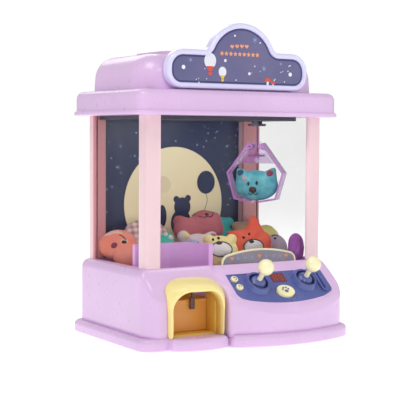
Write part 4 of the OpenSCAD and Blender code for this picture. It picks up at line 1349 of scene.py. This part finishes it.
def segment_bars(x, v, width, height, thick):
    """The seven bars of a digit."""
    bars = []

    def bar(x0, x1, v0, v1):
        bars.append([(x0, v0), (x1, v0), (x1, v1), (x0, v1)])

    for level in (0, height / 2, height):
        bar(x + thick, x + width - thick, v + level - thick / 2, v + level + thick / 2)
    for side in (0, width):
        for start in (0, height / 2):
            bar(x + side - thick / 2, x + side + thick / 2, v + start + thick, v + start
                + height / 2 - thick)
    return bars


def build_console_details():
    bars = []
    for left in (42.6, 51.6):
        bars += segment_bars(left, -14, 5.2, 8.6, 1.1)
    print_shapes("display_digits", bars, RED_LIT, on_console(0.3), "red_window",
                 thickness=0.1)
    top = on_console(3.0)
    marks = [disc((47.5 + 4.4 * math.cos(a), -34.0 + 4.4 * math.sin(a)), 1.5, 1, 14)
             for a in (0.3, 1.12, 2.02, 2.84)]
    marks.append(disc((47.5, -35.8), 2.9, 0.85, 18))
    print_shapes("start_mark", marks, INK_NAVY, top, "cream_knob", "start_button", 0.1)
    up = on_console(2.2)
    ring = [(-15.8 + 2.3 * math.cos(a / 4), -8.2 + 2.3 * math.sin(a / 4))
            for a in range(-9, 12)]
    ribbon("upper_mark", [ring, [(-15.8, -7.8), (-15.8, -5.0)]], 0.7, INK_LINE, up,
           "cream_knob", "button_upper", 0.1)
    bars = [[(-16.2, -19.6), (-16.2, -23.6)], [(-13.2, -19.2), (-13.2, -23.2)],
            [(-16.4, -19.5), (-13.0, -19.1)]]
    ribbon("lower_mark", bars, 0.7, INK_LINE, up, "cream_knob", "button_lower", 0.1)


def turned(name, profile, material):
    """A solid of revolution about its own z from a closed profile of (radius, level)."""
    loops = [[(x, y, z) for x, y in disc((0, 0), r, steps=48)] for r, z in profile]
    return lofted(name, loops, material, close_profile=True)


STICK_X = (13.2, 85.8)
STICK_V = -18.2
PIVOT_W = -6.0


def build_stick_covers():
    """The domed dust covers that hide the joysticks' slots, centred on their pivots."""
    profile = arc((0, PIVOT_W), 15.0, 77.4, 53, 10) + arc((0, PIVOT_W), 14.3, 52, 76, 10)
    for x, body in zip(STICK_X, ("stick_left", "stick_right")):
        cover = turned(f"{body}_cover", profile, NAVY)
        cover.matrix_world = CONSOLE @ Matrix.Translation(Vector((x, STICK_V, 0)) * MM)
        place(cover, body, "navy_console")


# ---- stage

def studio_world(light=0.52, seen=1.0):
    """An even white surround that lights softly and is seen as plain white."""
    world = bpy.data.worlds.new("studio")
    world.use_nodes = True
    tree = world.node_tree
    background = tree.nodes["Background"]
    background.inputs["Color"].default_value = (1, 1, 1, 1)
    path = tree.nodes.new("ShaderNodeLightPath")
    strength = tree.nodes.new("ShaderNodeMix")
    strength.data_type = "FLOAT"
    strength.inputs[2].default_value = light
    strength.inputs[3].default_value = seen
    tree.links.new(path.outputs["Is Camera Ray"], strength.inputs[0])
    tree.links.new(strength.outputs[0], background.inputs["Strength"])
    return world


def build_stage():
    scene = bpy.context.scene
    paper = Shader("studio_paper")
    fleck = paper.noise(4.0, 4.0)
    paper.set(Base_Color=paper.mix(fleck, srgb(250, 250, 251), srgb(246, 246, 248)),
              Roughness=0.85, Emission_Color=srgb(255, 255, 255), Emission_Strength=0.52)
    mesh = bpy.data.meshes.new("studio_floor")
    size = 6.0
    mesh.from_pydata([(-size, -size, 0), (size, -size, 0), (size, size, 0), (-size, size, 0)],
                     [], [(0, 1, 2, 3)])
    floor = bpy.data.objects.new("studio_floor", mesh)
    mesh.materials.append(paper.material)
    scene.collection.objects.link(floor)
    scene.world = studio_world()
    scene.view_settings.view_transform = "Standard"
    for name, spot, target, power, size in (
            ("key", (-1.1, -0.7, 2.0), (0, 0, 0.2), 13.5, 1.0),
            ("fill", (1.5, -1.1, 0.9), (0, 0, 0.2), 3, 1.2),
            ("strip", (-0.1, -1.5, 1.25), (0, 0, 0.2), 2, 0.22),
            ("back", (0.3, 1.4, 1.4), (0, 0, 0.2), 5, 1.0),
            ("inside", (0, -0.035, 0.262), (0, 0.02, 0.12), 0.10, 0.14)):
        light = bpy.data.lights.new(name, "AREA")
        light.energy = power
        light.size = size
        lamp = bpy.data.objects.new(name, light)
        lamp.location = spot
        aim = Vector(target) - Vector(spot)
        lamp.rotation_euler = aim.to_track_quat("-Z", "Y").to_euler()
        scene.collection.objects.link(lamp)


def build_camera():
    """A long lens from the front left, a little above the middle."""
    camera = bpy.data.cameras.new("camera")
    camera.lens = 102.77
    camera.sensor_width = 36.0
    camera.clip_start = 0.05
    obj = bpy.data.objects.new("camera", camera)
    azimuth, down, roll = math.radians(-32.04), math.radians(3.37), math.radians(0.34)
    obj.location = Vector((-804.01, -1256.08, 259.04)) * MM
    obj.rotation_mode = "XYZ"
    look = (Matrix.Rotation(azimuth, 3, "Z") @ Matrix.Rotation(math.pi / 2 - down, 3, "X")
            @ Matrix.Rotation(roll, 3, "Z"))
    obj.rotation_euler = look.to_euler()
    bpy.context.scene.collection.objects.link(obj)
    bpy.context.scene.camera = obj


# ---- build it

build_camera()
build_stage()

place(build_base_casing(), "cabinet", "lilac_casing", "base_shell")
place(build_foot(), "cabinet", "lilac_casing")
place(build_roof_rim(), "cabinet", "lilac_casing", "roof_rim")
place(build_roof_dome(), "cabinet", "lilac_casing", "roof_dome")
build_prize_frame()
build_sign_prints(build_sign())
build_back_prints()
build_arch_plate()
build_arch_prints()
build_console_details()
build_stick_covers()
build_toys()

dress(LILAC, 0.8, "base_bottom", "chamber_deck", "battery_door")
dress(LILAC, 2.0, "roof_hatch", segments=4)
dress(BLACK, 0.3, "rubber_feet", "battery_box")
dress(ORCHID, 0.9, "chute_barrier", segments=3)
dress(OCHRE, 0.4, "prize_bay")
dress(TAN, 0.4, "prize_flap")
dress(SMOKED, 0.4, "prize_sensor")
dress(SLATE, 0.5, "ceiling_plate", "bridge_frame", "trolley_frame")
dress(NAVY, 0.5, "console_panel", "joystick_collars", "coin_slot_bezel")
dress(NAVY_DARK, 0.3, "gimbal_left", "gimbal_right")
dress(RED_GLASS, 0.15, "display_window")
dress(BOARD, 0.2, "control_board")
dress(BRASS, 0.3, "battery_cells")
dress(ROSE, 0.8, "pillar_front_left", "pillar_front_right", segments=3)
# The back pillars take the rose with painted shade on their inner faces.
dress(ROSE_SHADED, 0.8, "pillar_back_left", "pillar_back_right", segments=3)
dress(CLEAR, 0.0, "window_front", "window_left", "window_right")
dress(INK_NIGHT, 0.2, "back_panel")
dress(STEEL, 0.3, "gantry_rails", "drive_axle", "winch_motor", "casing_screws")
dress(CREAM, 0.5, "winch_drum", "stick_left", "stick_right", "start_button", "button_upper",
      "button_lower", segments=3)
dress(HOOD, 0.5, "claw_hood")
dress(ACTUATOR, 0.3, "claw_actuator")
dress(CLAW, 0.5, "jaw_left", "jaw_right")
dress(CORD, 0.0, "hoist_string")

bpy.context.view_layer.update()
